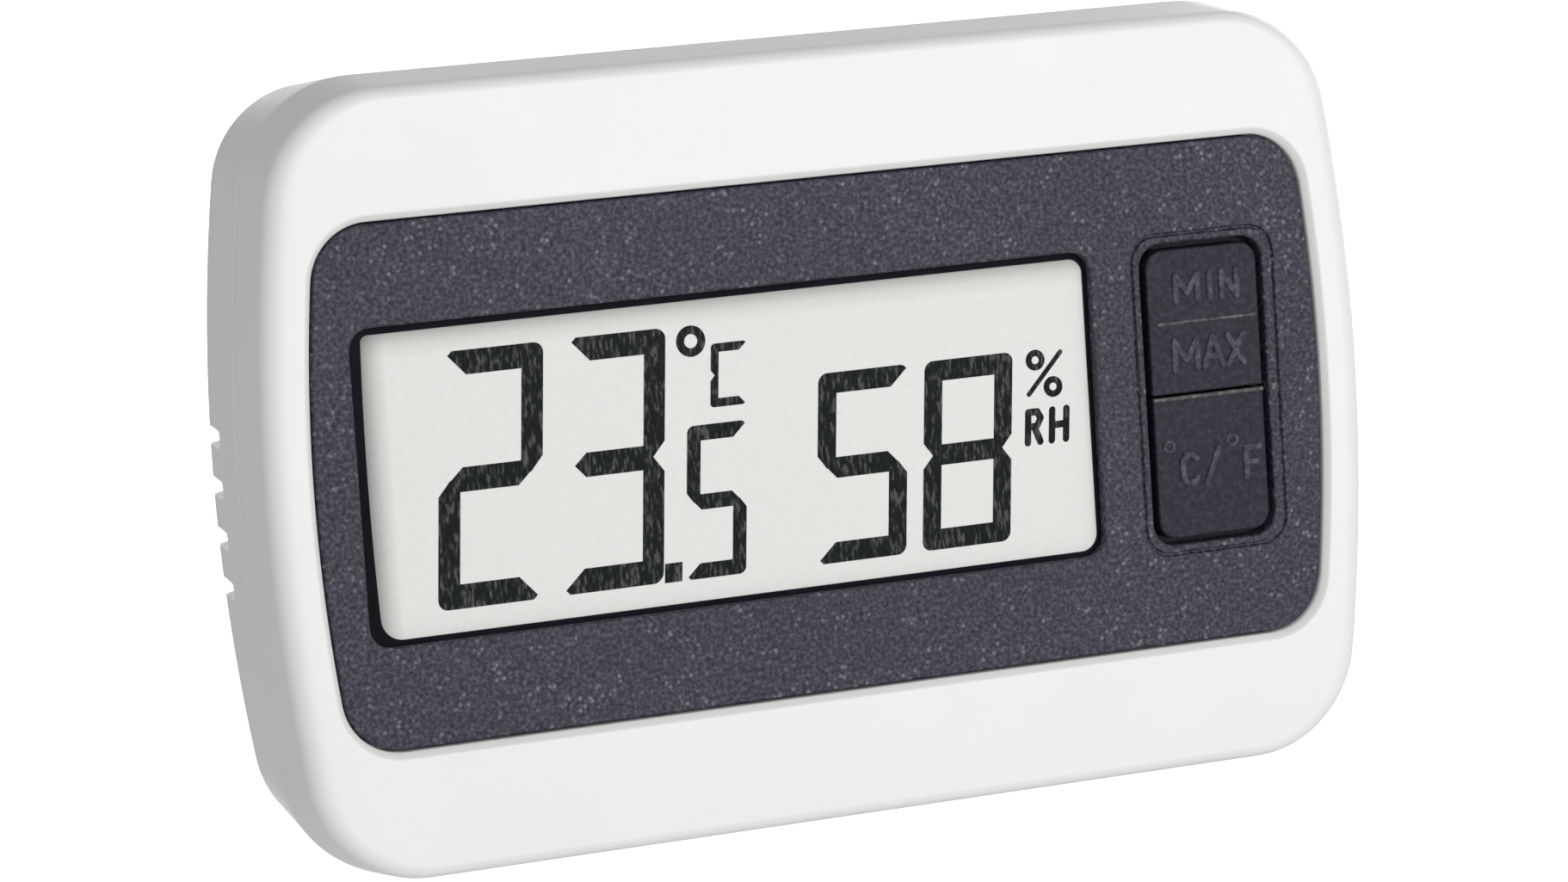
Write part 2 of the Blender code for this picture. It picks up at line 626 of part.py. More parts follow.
def make_electronics(materials):
    y = BOARD_REAR_Y + SOLDER_GAP
    blob = [(3.6, y), (3.5, y + 0.35), (3.0, y + 0.75), (2.1, y + 1.05), (1.0, y + 1.2), (0.3, y + 1.22)]
    solid("chip_blob", turned(blob, (-8.0, MID_Z + 1.0)), materials["resin"])
    solid("quartz_crystal", rod_along_x(-12.5, -6.6, y + 1.0, MID_Z - 8.6, 0.95), materials["tin"])
    sensor = solid("humidity_sensor", block(-25.2, -20.4, y, y + 2.3, 15.4, 21.4), materials["sensor"])
    cut(sensor, *[block(-24.4, -21.2, y + 1.2, y + 3.0, z, z + 0.6) for z in (16.6, 18.1, 19.6)])
    bead = [(0.25, y), (0.3, y + 0.9), (0.85, y + 1.2), (1.05, y + 1.9), (0.85, y + 2.6), (0.3, y + 2.95)]
    solid("temperature_sensor", turned(bead, (-23.2, 24.4), SMALL_TURN_STEPS), materials["resin"])
    small, large = (1.6, 0.8), (2.0, 1.2)
    chips = (("capacitor_1", -15.2, 27.2, small, "ceramic"), ("capacitor_2", -15.2, 14.0, large, "ceramic"),
             ("capacitor_3", 1.2, 30.6, small, "ceramic"), ("resistor_1", -17.6, 20.6, small, "resin"),
             ("resistor_2", -17.6, 18.2, small, "resin"), ("resistor_3", -1.6, 12.6, small, "resin"))
    for name, x, z, (wide, tall), look in chips:
        solid(name, block(x - wide / 2, x + wide / 2, y, y + CHIP_HEIGHT, z - tall / 2, z + tall / 2), materials[look])


# ---------------------------------------------------------------- power

def make_power(materials):
    bay = (BAY_X, MID_Z)
    front = CELL_REAR_Y - CELL_HEIGHT
    cap_edge = 4.4
    profile = [(cap_edge - 0.3, front), (cap_edge, front + 0.25), (cap_edge + 0.1, front + 0.7),
               (CELL_RADIUS - 0.35, front + 0.75), (CELL_RADIUS, front + 1.1),
               (CELL_RADIUS, CELL_REAR_Y - 0.4), (CELL_RADIUS - 0.35, CELL_REAR_Y - 0.05)]
    solid("button_cell", turned(profile, bay, DOOR_STEPS), materials["steel"])

    pad_y = BOARD_REAR_Y + SOLDER_GAP
    tip_y = front - 0.08
    spring = [(3.8, pad_y), (3.8, pad_y + 0.2), (3.0, pad_y + 0.2), (1.4, tip_y), (0.5, tip_y),
              (0.5, tip_y - 0.2), (1.3, tip_y - 0.2), (2.9, pad_y)]
    solid("negative_contact", turned(spring, bay, joined=True), materials["steel"])

    inner = BAY_X - CELL_RADIUS - 0.1
    path = [(inner, 3.2), (inner - 0.2, 3.2), (inner - 0.2, pad_y + 0.2), (inner - 1.0, pad_y + 0.2),
            (inner - 1.0, pad_y), (inner, pad_y)]
    contact = strip(path, MID_Z - CONTACT_HALF_WIDTH, MID_Z + CONTACT_HALF_WIDTH)
    solid("positive_contact", contact, materials["steel"])


def make_battery_cap(material):
    bay = (BAY_X, MID_Z)
    outer_y = REAR_Y - 0.05
    disc_y = CELL_REAR_Y + 0.2
    tab_y = CELL_REAR_Y - 1.05
    disc = [(CAP_RADIUS, disc_y), (CAP_RADIUS, outer_y - CAP_EDGE), (CAP_RADIUS - CAP_EDGE, outer_y)]
    cap = solid("battery_cap", turned(disc, bay, DOOR_STEPS), material, (BAY_X, outer_y, MID_Z))
    inner, outer = CAP_SKIRT
    skirt = [(outer, tab_y), (outer, disc_y + 0.3), (inner, disc_y + 0.3), (inner, tab_y)]
    join_on(cap, turned(skirt, bay, DOOR_STEPS, joined=True))
    join_on(cap, *[prism(sector(bay, outer - 0.4, CAP_TAB_RADIUS, turn, CAP_TAB_HALF_ANGLE),
                         tab_y, tab_y + CAP_TAB_THICK) for turn in (0.0, pi)])
    half_length, half_width, depth = COIN_SLOT
    slot = rounded_box((BAY_X - half_length, BAY_X + half_length, MID_Z - half_width, MID_Z + half_width),
                       half_width - 0.05)
    cut(cap, prism(slot, outer_y - depth, REAR_Y + PAST))


# ---------------------------------------------------------------- leg and screws

def make_stand_leg(material):
    """A flat leg whose upper end is a half round about its trunnions."""
    half = LEG_THICK / 2
    profile = [(HINGE_Y - half, LEG_BOTTOM_Z + 0.4), (HINGE_Y - half + 0.4, LEG_BOTTOM_Z),
               (HINGE_Y + half, LEG_BOTTOM_Z)]
    for i in range(9):
        angle = pi * i / 8
        profile.append((HINGE_Y + half * cos(angle), HINGE_Z + half * sin(angle)))
    plate = loft([[(x, y, z) for y, z in profile] for x in (-LEG_HALF_WIDTH, LEG_HALF_WIDTH)])
    leg = solid("stand_leg", plate, material, (0.0, HINGE_Y, HINGE_Z))
    join_on(leg, rod_along_x(-TRUNNION_END, TRUNNION_END, HINGE_Y, HINGE_Z, TRUNNION_RADIUS))
    cut(leg, prism(rounded_box(LEG_PANEL, 1.2), HINGE_Y + half - LEG_PANEL_DEPTH, REAR_Y + PAST))


def make_screws(material):
    head_y = COUNTERBORE_Y + SOLDER_GAP
    shank, head = CASE_SCREW_RADIUS, CASE_HEAD_RADIUS
    wide, narrow = CROSS_HALF_LENGTH, CROSS_HALF_WIDTH
    for i, (x, z) in enumerate(four_corners(CASE_SCREW_X, CASE_SCREW_Z), start=1):
        profile = [(0.3, CASE_SCREW_TIP_Y), (shank, CASE_SCREW_TIP_Y + 1.1), (shank, head_y),
                   (head, head_y), (head, head_y + 0.6), (1.4, head_y + 1.1), (0.7, head_y + 1.25)]
        screw = solid(f"case_screw_{i}", turned(profile, (x, z), SMALL_TURN_STEPS), material, (x, head_y, z))
        cross_y = head_y + 0.55
        cut(screw, block(x - wide, x + wide, cross_y, head_y + 2.0, z - narrow, z + narrow))
        cut(screw, block(x - narrow, x + narrow, cross_y, head_y + 2.0, z - wide, z + wide))
    head_y = BOARD_REAR_Y + SOLDER_GAP
    shank, head = BOARD_SCREW_RADIUS, BOARD_HEAD_RADIUS
    for i, (x, z) in enumerate(four_corners(BOARD_SCREW_X, BOARD_SCREW_Z), start=1):
        profile = [(0.2, BOARD_SCREW_TIP_Y), (shank, BOARD_SCREW_TIP_Y + 0.6), (shank, head_y),
                   (head, head_y), (head, head_y + 0.5), (0.8, head_y + 0.8)]
        solid(f"board_screw_{i}", turned(profile, (x, z), SMALL_TURN_STEPS), material, (x, head_y, z))


def main():
    clear_scene()
    white = plastic("white_case", (0.90, 0.90, 0.885), 0.34)
    panel_grey = plastic("panel_grey", (0.082, 0.078, 0.098), 0.5)
    key_grey = plastic("key_grey", (0.048, 0.048, 0.062), 0.5)
    materials = {
        "film": plastic("polarizer_film", (0.75, 0.75, 0.73), 0.35),
        "glass": plastic("display_glass", (0.80, 0.84, 0.82), 0.05),
        "silver": plastic("reflector_film", (0.78, 0.78, 0.76), 0.3, 0.6),
        "holder": plastic("holder_plastic", (0.85, 0.85, 0.82), 0.5),
        "rubber": plastic("connector_rubber", (0.70, 0.42, 0.44), 0.8),
        "resin": plastic("black_resin", (0.015, 0.015, 0.017), 0.3),
        "tin": plastic("crystal_can", (0.70, 0.70, 0.68), 0.3, 1.0),
        "sensor": plastic("sensor_case", (0.82, 0.82, 0.78), 0.5),
        "ceramic": plastic("capacitor_ceramic", (0.45, 0.33, 0.22), 0.5),
        "steel": plastic("nickel_steel", (0.68, 0.67, 0.64), 0.28, 1.0),
    }
    make_front_housing(white)
    make_rear_cover(white)
    make_face_panel(panel_grey)
    for name, place, bottom, top in key_places():
        middle = make_key(name, bottom, top, key_grey)
        make_switch(place, middle, materials["resin"], materials["sensor"])
    make_display(materials)
    make_board(plastic("board_laminate", (0.05, 0.22, 0.10), 0.4))
    make_electronics(materials)
    make_power(materials)
    make_battery_cap(white)
    make_stand_leg(white)
    make_screws(materials["steel"])


main()
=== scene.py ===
"""Looks of a small digital maximum-minimum thermometer with a humidity reading.

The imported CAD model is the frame. Its outer pieces get fine moulded surfaces here, the display gets
its segments, the keys get raised labels, and every piece gets a procedural material. Shapes are
drawn in millimetres, from places that the frame gives, and are turned into metres in piece().
"""

from math import atan2, cos, pi, radians, sin

import bmesh
import bpy
from mathutils import Matrix, Vector


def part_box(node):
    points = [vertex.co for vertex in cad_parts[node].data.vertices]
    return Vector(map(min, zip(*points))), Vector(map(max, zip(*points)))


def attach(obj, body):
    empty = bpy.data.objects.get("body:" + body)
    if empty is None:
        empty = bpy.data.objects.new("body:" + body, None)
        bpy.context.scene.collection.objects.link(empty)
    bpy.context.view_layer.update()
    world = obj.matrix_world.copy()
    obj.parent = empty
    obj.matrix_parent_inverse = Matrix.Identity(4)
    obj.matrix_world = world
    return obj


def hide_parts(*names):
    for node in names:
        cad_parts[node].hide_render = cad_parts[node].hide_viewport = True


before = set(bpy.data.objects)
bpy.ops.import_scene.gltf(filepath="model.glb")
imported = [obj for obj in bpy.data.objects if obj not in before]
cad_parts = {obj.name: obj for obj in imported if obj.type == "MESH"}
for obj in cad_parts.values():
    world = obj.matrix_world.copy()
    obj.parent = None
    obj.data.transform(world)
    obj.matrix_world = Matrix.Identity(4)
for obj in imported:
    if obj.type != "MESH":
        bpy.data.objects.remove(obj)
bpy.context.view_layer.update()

MM = 0.001


def box(node):
    """Lowest and highest corner of a CAD node, in millimetres."""
    low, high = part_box(node)
    return low / MM, high / MM


def middle_of(low, high):
    """The middle of a box in X and Z."""
    return (low.x + high.x) / 2, (low.z + high.z) / 2


# Places from the frame
CASE_LOW, CASE_HIGH = box("front_housing")
PANEL_LOW, PANEL_HIGH = box("face_panel")
FILM_LOW, FILM_HIGH = box("front_polarizer")
CAP_LOW, CAP_HIGH = box("battery_cap")
LEG_LOW, LEG_HIGH = box("stand_leg")
REAR_Y = box("rear_cover")[1].y
FRONT_Y = CASE_LOW.y
MID_Z = (CASE_LOW.z + CASE_HIGH.z) / 2
HALF_WIDTH = (CASE_HIGH.x - CASE_LOW.x) / 2
HALF_HEIGHT = (CASE_HIGH.z - CASE_LOW.z) / 2
PANEL_CENTRE = middle_of(PANEL_LOW, PANEL_HIGH)
PANEL_HALF_WIDTH = (PANEL_HIGH.x - PANEL_LOW.x) / 2
PANEL_HALF_HEIGHT = (PANEL_HIGH.z - PANEL_LOW.z) / 2
PANEL_Y = PANEL_LOW.y
PANEL_BACK_Y = PANEL_HIGH.y
CAP_CENTRE = middle_of(CAP_LOW, CAP_HIGH)

# Case shape
CORNER_RADIUS = 6.25
SIDE_BOW = 0.0054
FRONT_ROUND = 1.0             # depth of the rounded front edge
FRONT_ROUND_X = 1.2           # its width at the sides
FRONT_ROUND_Z = 0.7           # its width at the top and bottom
REAR_ROUND = 2.0
FRONT_DRAFT_X = 0.01          # inset per millimetre of depth
FRONT_DRAFT_Z = 0.106
REAR_DRAFT_X = 0.165
REAR_DRAFT_Z = 0.085
WALL = 1.5
FRONT_WALL = 2.4
REAR_WALL = 1.4
SEAM_Y = -2.6
SEAM_GAP = 0.12
SEAM_EDGE = 0.18              # small round on both lips of the seam

# Face panel and its rim
PANEL_RADIUS = 2.9
PANEL_BOW = 0.0060
PANEL_FIT = 0.1
RIM_WIDTH = 0.4
RIM_DEPTH = 0.3
LEDGE = (26.15, 11.55, 0.5)   # half width, half height and corner of the opening behind the panel
WINDOW = (-25.1, 14.6, -7.8, 7.8)
WINDOW_RADIUS = 1.1
BORDER_OPENING = (-24.36, 14.38, -7.54, 7.42)   # inside the near-black ring on the film, wider at its left and top
BORDER_RADII = (0.75, 0.35, 1.15, 0.9)
BORDER_BULGE = 0.14           # of its left side
SHADE_LEFT = 1.35             # width of the frame's soft shade on the film
SHADE_TOP = 1.3
GLASS_POCKET = (-26.0, 16.0, -11.1, 9.1)
WINDOW_LIP = 0.5
KEY_OPENING = (17.4, 24.4, -7.75, 7.75)
KEY_OPENING_RADIUS = 1.2
KEY_BORDER = (16.92, 24.98, -8.2, 8.2)
KEY_BORDER_RADIUS = 1.35

# Keys
KEY_GAP = 0.33
KEY_SPLIT_Z = -0.08
KEY_SPLIT_GAP = 0.15
KEY_CORNER = 0.95
KEY_SPLIT_CORNER = 0.12
KEY_STEM_RADIUS = 1.3
MARK_ROOT = 0.1               # how far raised marks reach into the key

# Posts and screws, placed from the middle of the case; a hole is its radius and the Y of its ends
CASE_POSTS = (23.2, 14.1)
BOARD_POSTS = (14.0, 13.9)
CASE_POST_RADIUS = 2.2
CASE_PILOT = (1.12, -4.8, -1.0)
BOARD_POST_RADIUS = 1.7
BOARD_PILOT = (0.77, -4.9, -1.0)
CASE_POST_END_Y = -1.95
BOARD_POST_END_Y = -2.0
POST_ROOT = 0.5               # how far posts reach into a wall
REAR_POST_RADIUS = 2.6
SCREW_HOLE = (1.24, -4.0, 5.6)
HEAD_POCKET_RADIUS = 2.15
HEAD_POCKET_Y = 5.4
HEAD_Y = 5.45

# Battery bay and cap, as radii and angles about the cap's axis
BAY_WALL_RADIUS = 10.3
CELL_HOLE = (6.25, 0.0, 4.7)
TAB_GROOVE_RADIUS = 9.3
TAB_GROOVE_Y = 4.5
BAY_MOUTH_RADIUS = 7.95
CONTACT_HOLE = (4.3, -1.4, 0.6)
COIN_SLOT = (-4.8, 4.8, -0.65, 0.65)
CAP_RADIUS = 7.75
TAB = (8.9, 7.2)              # outer and inner radius of the cap's tabs
TAB_HALF_ANGLE = radians(12)
NOTCH = (9.2, 6.95)           # and of the notches that let them in
NOTCH_HALF_ANGLE = radians(15)
CAP_TURN = radians(38)

# Leg, its recess and the key-hole
LEG_HALF = 0.9                # half its thickness
LEG_RECESS_DEPTH = 2.05
HINGE_Y = REAR_Y - 1.0
HINGE_Z = LEG_HIGH.z - LEG_HALF
TRUNNION_RADIUS = 0.8
TRUNNION_HOLE_RADIUS = 0.95
TRUNNION_HOLE_X = (5.5, 7.25)
LEG_WINDOW = (-3.2, 3.2, 13.4, 21.8)
GRIP_FOOT_Z = 8.1
GRIP_PITCH = 1.2
KEYHOLE_RISE = 4.6            # of its round part above the hinge
KEYHOLE_RADIUS = 1.8
KEYHOLE_SLOT = (0.95, 3.6)    # half width and height

# Feet and vents
FOOT_X = 18.0
FOOT_HALF_LENGTH = 4.0
FOOT_REAR_Y = 5.0
FOOT_HEIGHT = 1.1
VENTS = 4
VENT_PITCH = 2.55
VENT_TOP = 2.0                # above the panel's centre
VENT_HALF_WIDTH = 0.475
VENT_Y = (2.7, 9.0)
VENT_X = (-31.0, -27.0)

# Roundness of the fine surfaces
CORNER_STEPS = 18
SIDE_STEPS = 10
TOP_STEPS = 8
ROUND_STEPS = 10
EDGE_STEPS = 4
TURN_STEPS = 96
SMALL_TURN_STEPS = 48


# ---- shapes as (vertices, faces)

def outline(half_width, half_height, radius, bow=0.0, centre=(0.0, 0.0)):
    """A rounded rectangle in X and Z whose left and right sides bulge, drawn by a rolling circle."""
    corner_z = half_height - radius
    quarter = []
    for i in range(SIDE_STEPS):
        z = corner_z * i / SIDE_STEPS
        angle = atan2(2 * bow * z, 1.0)
        quarter.append((half_width - radius - bow * z * z + radius * cos(angle),
                        z + radius * sin(angle)))
    corner_x = half_width - radius - bow * corner_z * corner_z
    start = atan2(2 * bow * corner_z, 1.0)
    for i in range(CORNER_STEPS + 1):
        angle = start + (pi / 2 - start) * i / CORNER_STEPS
        quarter.append((corner_x + radius * cos(angle), corner_z + radius * sin(angle)))
    for i in range(1, TOP_STEPS + 1):
        quarter.append((corner_x * (1 - i / TOP_STEPS), half_height))
    upper = quarter + [(-x, z) for x, z in reversed(quarter[:-1])]
    lower = [(x, -z) for x, z in reversed(upper[1:-1])]
    return [(centre[0] + x, centre[1] + z) for x, z in upper + lower]


def body_outline(inset_x, inset_z):
    radius = max(CORNER_RADIUS - (inset_x + inset_z) / 2, 0.6)
    return outline(HALF_WIDTH - inset_x, HALF_HEIGHT - inset_z, radius, SIDE_BOW, (0.0, MID_Z))


def panel_outline(grow):
    return outline(PANEL_HALF_WIDTH + grow, PANEL_HALF_HEIGHT + grow, PANEL_RADIUS + grow,
                   PANEL_BOW, PANEL_CENTRE)


def rounded_rectangle(bounds, radii, grow=0.0, centre=(0.0, 0.0), steps=8):
    """A left, right, bottom, top box; the corner radii run from top right round to bottom right."""
    left, right, bottom, top = bounds
    if not isinstance(radii, tuple):
        radii = (radii,) * 4
    corners = ((right, top, 0), (left, top, 1), (left, bottom, 2), (right, bottom, 3))
    points = []
    for (x, z, turn), radius in zip(corners, radii):
        sign_x = 1 if turn in (0, 3) else -1
        sign_z = 1 if turn in (0, 1) else -1
        reach = max(radius + grow, 0.01)
        for i in range(steps + 1):
            angle = pi / 2 * (turn + i / steps)
            points.append((centre[0] + x - sign_x * radius + reach * cos(angle),
                           centre[1] + z - sign_z * radius + reach * sin(angle)))
    return points


def bulged_left(ring, bulge, steps=8):
    """A rounded rectangle with points added down its left side, set out by a shallow arc."""
    corner = len(ring) // 2
    (x, high), (_, low) = ring[corner - 1], ring[corner]
    side = []
    for i in range(1, steps):
        t = i / steps
        side.append((x - 4 * bulge * t * (1 - t), high + (low - high) * t))
    return ring[:corner] + side + ring[corner:]


def circle(centre, radius, steps=TURN_STEPS):
    return [(centre[0] + radius * cos(2 * pi * i / steps), centre[1] + radius * sin(2 * pi * i / steps))
            for i in range(steps)]


def at_depth(points, y):
    return [(x, y, z) for x, z in points]


def loft(rings, joined=False):
    """Skin rings of equal length; the ends are capped, or joined to each other."""
    count = len(rings[0])
    vertices = [point for ring in rings for point in ring]
    faces = []
    last = len(rings) if joined else len(rings) - 1
    for r in range(last):
        low = r * count
        high = ((r + 1) % len(rings)) * count
        for i in range(count):
            j = (i + 1) % count
            faces.append((low + i, low + j, high + j, high + i))
    if not joined:
        faces.append(tuple(reversed(range(count))))
        faces.append(tuple(range((len(rings) - 1) * count, len(rings) * count)))
    return vertices, faces


def prism(points, y_front, y_rear):
    return loft([at_depth(points, y_front), at_depth(points, y_rear)])


def rod(centre, radius, y_front, y_rear, steps=SMALL_TURN_STEPS):
    """A round rod along Y."""
    return prism(circle(centre, radius, steps), y_front, y_rear)


def block(x0, x1, y0, y1, z0, z1):
    return prism([(x0, z0), (x1, z0), (x1, z1), (x0, z1)], y0, y1)


def turned(profile, centre, steps=TURN_STEPS, joined=False):
    """Turn a list of (radius, y) about an axis along Y."""
    return loft([at_depth(circle(centre, radius, steps), y) for radius, y in profile], joined)


def turned_along_x(profile, y, z, steps=SMALL_TURN_STEPS):
    """Turn a list of (x, radius) about an axis along X."""
    return loft([[(x, a, b) for a, b in circle((y, z), radius, steps)] for x, radius in profile])


def quarter_round(radius, steps=EDGE_STEPS):
    """Depth below a face and inset from a side along a rounded edge, from the side to the face."""
    for i in range(steps + 1):
        angle = pi / 2 * i / steps
        yield radius * (1 - sin(angle)), radius * (1 - cos(angle))


def pocket(ring, floor_y, mouth_y, edge=0.2, fillet=0.15):
    """A cutter whose floor has a fillet and whose mouth is rounded over; ring(grow) gives its outline."""
    way = 1 if mouth_y > floor_y else -1
    rings = [at_depth(ring(-inset), floor_y + way * rise) for inset, rise in quarter_round(fillet)]
    rings += [at_depth(ring(inset), mouth_y - way * depth) for depth, inset in quarter_round(edge)]
    rings.append(at_depth(ring(edge), mouth_y + way))
    return loft(rings)


def domed(ring, back_y, front_y, edge):
    """A solid whose front edge is rounded; ring(grow) gives its outline."""
    way = 1 if back_y > front_y else -1
    rings = [at_depth(ring(0.0), back_y)]
    rings += [at_depth(ring(-inset), front_y + way * depth) for depth, inset in quarter_round(edge)]
    return loft(rings)


def stroke(start, end, width, steps=6):
    """The outline of a straight pen stroke with round ends."""
    angle = atan2(end[1] - start[1], end[0] - start[0])
    points = []
    for (x, z), turn in ((end, -pi / 2), (start, pi / 2)):
        for i in range(steps + 1):
            a = angle + turn + pi * i / steps
            points.append((x + width / 2 * cos(a), z + width / 2 * sin(a)))
    return points


LETTERS = {
    "/": (((0, 0), (1, 1)),),
    "A": (((0, 0), (0.5, 1), (1, 0)), ((0.2, 0.35), (0.8, 0.35))),
    "C": (((1, 0.82), (0.7, 1), (0.3, 1), (0, 0.78), (0, 0.22), (0.3, 0), (0.7, 0), (1, 0.18)),),
    "F": (((0, 0), (0, 1), (1, 1)), ((0, 0.52), (0.75, 0.52))),
    "H": (((0, 0), (0, 1)), ((1, 0), (1, 1)), ((0, 0.5), (1, 0.5))),
    "I": (((0, 0), (0, 1)),),
    "M": (((0, 0), (0, 1), (0.5, 0.3), (1, 1), (1, 0)),),
    "N": (((0, 0), (0, 1), (1, 0), (1, 1)),),
    "R": (((0, 0), (0, 1), (0.7, 1), (1, 0.78), (0.7, 0.52), (0, 0.52)), ((0.5, 0.52), (1, 0))),
    "X": (((0, 0), (1, 1)), ((0, 1), (1, 0))),
}


def letter_strokes(letter, bounds):
    """Start and end of each pen stroke of a plain letter that fills a left, right, bottom, top box."""
    left, right, bottom, top = bounds
    for line in LETTERS[letter]:
        points = [(left + u * (right - left), bottom + v * (top - bottom)) for u, v in line]
        yield from zip(points, points[1:])


def rounded_mouth(radius, floor_y, mouth_y, edge, centre, steps=TURN_STEPS):
    """A cutter for a round hole whose mouth at the back of the case is rounded over."""
    profile = [(radius, floor_y)]
    profile += [(radius + inset, mouth_y - depth) for depth, inset in quarter_round(edge)]
    profile.append((radius + edge, mouth_y + 1.0))
    return turned(profile, centre, steps)


def sector(centre, outer, inner, middle, half, steps=12):
    """The outline of part of a ring, about the direction middle."""
    angles = [middle - half + 2 * half * i / steps for i in range(steps + 1)]
    points = [(centre[0] + outer * cos(a), centre[1] + outer * sin(a)) for a in angles]
    return points + [(centre[0] + inner * cos(a), centre[1] + inner * sin(a)) for a in reversed(angles)]


def four_corners(x, z):
    return [(sx * x, MID_Z + sz * z) for sx in (-1, 1) for sz in (-1, 1)]


# ---- Blender objects

def piece(name, shape, material=None):
    """Make an object from a shape, with its faces turned outwards."""
    vertices, faces = shape
    mesh = bpy.data.meshes.new(name)
    mesh.from_pydata([[c * MM for c in vertex] for vertex in vertices], [], faces)
    work = bmesh.new()
    work.from_mesh(mesh)
    bmesh.ops.recalc_face_normals(work, faces=work.faces)
    work.to_mesh(mesh)
    work.free()
    if material:
        mesh.materials.append(material)
    obj = bpy.data.objects.new(name, mesh)
    bpy.context.scene.collection.objects.link(obj)
    return obj


def combine(target, shape, operation):
    helper = piece(f"{target.name}_helper", shape)
    modifier = target.modifiers.new(helper.name, "BOOLEAN")
    modifier.operation = operation
    modifier.solver = "EXACT"
    modifier.object = helper


def join_on(target, *shapes):
    for shape in shapes:
        combine(target, shape, "UNION")


def cut(target, *shapes):
    for shape in shapes:
        combine(target, shape, "DIFFERENCE")


def settle(obj, body, replaced=(), sharp=35.0):
    """Fix the shape, shade it, and hang it on its CAD body."""
    helpers = [m.object for m in obj.modifiers if m.type == "BOOLEAN"]
    if helpers:
        graph = bpy.context.evaluated_depsgraph_get()
        mesh = bpy.data.meshes.new_from_object(obj.evaluated_get(graph))
        mesh.name = obj.name
        obj.modifiers.clear()
        obj.data = mesh
        for helper in helpers:
            bpy.data.objects.remove(helper, do_unlink=True)
    obj.data.shade_smooth()
    obj.data.set_sharp_from_angle(angle=radians(sharp))
    normals = obj.modifiers.new("even_normals", "WEIGHTED_NORMAL")
    normals.keep_sharp = True
    normals.weight = 100
    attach(obj, body)
    if replaced:
        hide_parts(*replaced)
    return obj


# ---- materials

class Finish:
    """A Principled material whose pattern is laid out in the object's own space."""

    def __init__(self, name, roughness, metallic=0.0, specular=0.5):
        self.material = bpy.data.materials.new(name)
        self.material.use_nodes = True
        self.tree = self.material.node_tree
        self.shader = self.tree.nodes["Principled BSDF"]
        self.shader.inputs["Roughness"].default_value = roughness
        self.shader.inputs["Metallic"].default_value = metallic
        self.shader.inputs["Specular IOR Level"].default_value = specular
        self.place = self.add("ShaderNodeTexCoord").outputs["Object"]

    def add(self, kind):
        return self.tree.nodes.new(kind)

    def link(self, output, node_input):
        self.tree.links.new(output, node_input)

    def noise(self, size, detail=2.0, stretch=(1.0, 1.0, 1.0)):
        """Soft noise whose grain is about size millimetres."""
        mapping = self.add("ShaderNodeMapping")
        mapping.inputs["Scale"].default_value = [1.0 / (size * MM * s) for s in stretch]
        self.link(self.place, mapping.inputs["Vector"])
        node = self.add("ShaderNodeTexNoise")
        node.inputs["Scale"].default_value = 1.0
        node.inputs["Detail"].default_value = detail
        self.link(mapping.outputs["Vector"], node.inputs["Vector"])
        return node.outputs["Fac"]

    def flecks(self, size, radius):
        """Round grains: 1 inside a grain, falling to 0 at its radius, on a grid of the given size."""
        mapping = self.add("ShaderNodeMapping")
        mapping.inputs["Scale"].default_value = [1.0 / (size * MM)] * 3
        self.link(self.place, mapping.inputs["Vector"])
        node = self.add("ShaderNodeTexVoronoi")
        node.inputs["Scale"].default_value = 1.0
        self.link(mapping.outputs["Vector"], node.inputs["Vector"])
        fall = self.add("ShaderNodeMapRange")
        fall.inputs["From Min"].default_value = radius
        fall.inputs["From Max"].default_value = 0.0
        self.link(node.outputs["Distance"], fall.inputs["Value"])
        return fall.outputs["Result"]

    def ramp(self, factor, *stops):
        """Map a factor to colours, given as (place, colour)."""
        node = self.add("ShaderNodeValToRGB")
        elements = node.color_ramp.elements
        while len(elements) < len(stops):
            elements.new(0.5)
        for element, (place, colour) in zip(elements, stops):
            element.position = place
            element.color = (*colour, 1.0)
        self.link(factor, node.inputs["Fac"])
        return node.outputs["Color"]

    def blend(self, factor, low, high, kind="MIX"):
        """Mix two colours, each a tuple or another node's output, by a factor."""
        node = self.add("ShaderNodeMix")
        node.data_type = "RGBA"
        node.blend_type = kind
        if isinstance(factor, float):
            node.inputs["Factor"].default_value = factor
        else:
            self.link(factor, node.inputs["Factor"])
        for socket, value in ((node.inputs[6], low), (node.inputs[7], high)):
            if isinstance(value, tuple):
                socket.default_value = (*value, 1.0)
            else:
                self.link(value, socket)
        return node.outputs[2]

    def spread(self, factor, low, high, start=0.3, end=0.7):
        """Map a factor to a range of values."""
        node = self.add("ShaderNodeMapRange")
        for socket, value in (("From Min", start), ("From Max", end), ("To Min", low), ("To Max", high)):
            node.inputs[socket].default_value = value
        self.link(factor, node.inputs["Value"])
        return node.outputs["Result"]

    def along(self, axis, start, end):
        """0 to 1 between two places on an axis, in millimetres."""
        split = self.add("ShaderNodeSeparateXYZ")
        self.link(self.place, split.inputs["Vector"])
        return self.spread(split.outputs[axis], 0.0, 1.0, start * MM, end * MM)

    def colour(self, output):
        self.link(output, self.shader.inputs["Base Color"])
        return self

    def rough(self, output):
        self.link(output, self.shader.inputs["Roughness"])
        return self

    def bump(self, height, millimetres, strength=1.0):
        node = self.add("ShaderNodeBump")
        node.inputs["Strength"].default_value = strength
        node.inputs["Distance"].default_value = millimetres * MM
        self.link(height, node.inputs["Height"])
        self.link(node.outputs["Normal"], self.shader.inputs["Normal"])
        return self


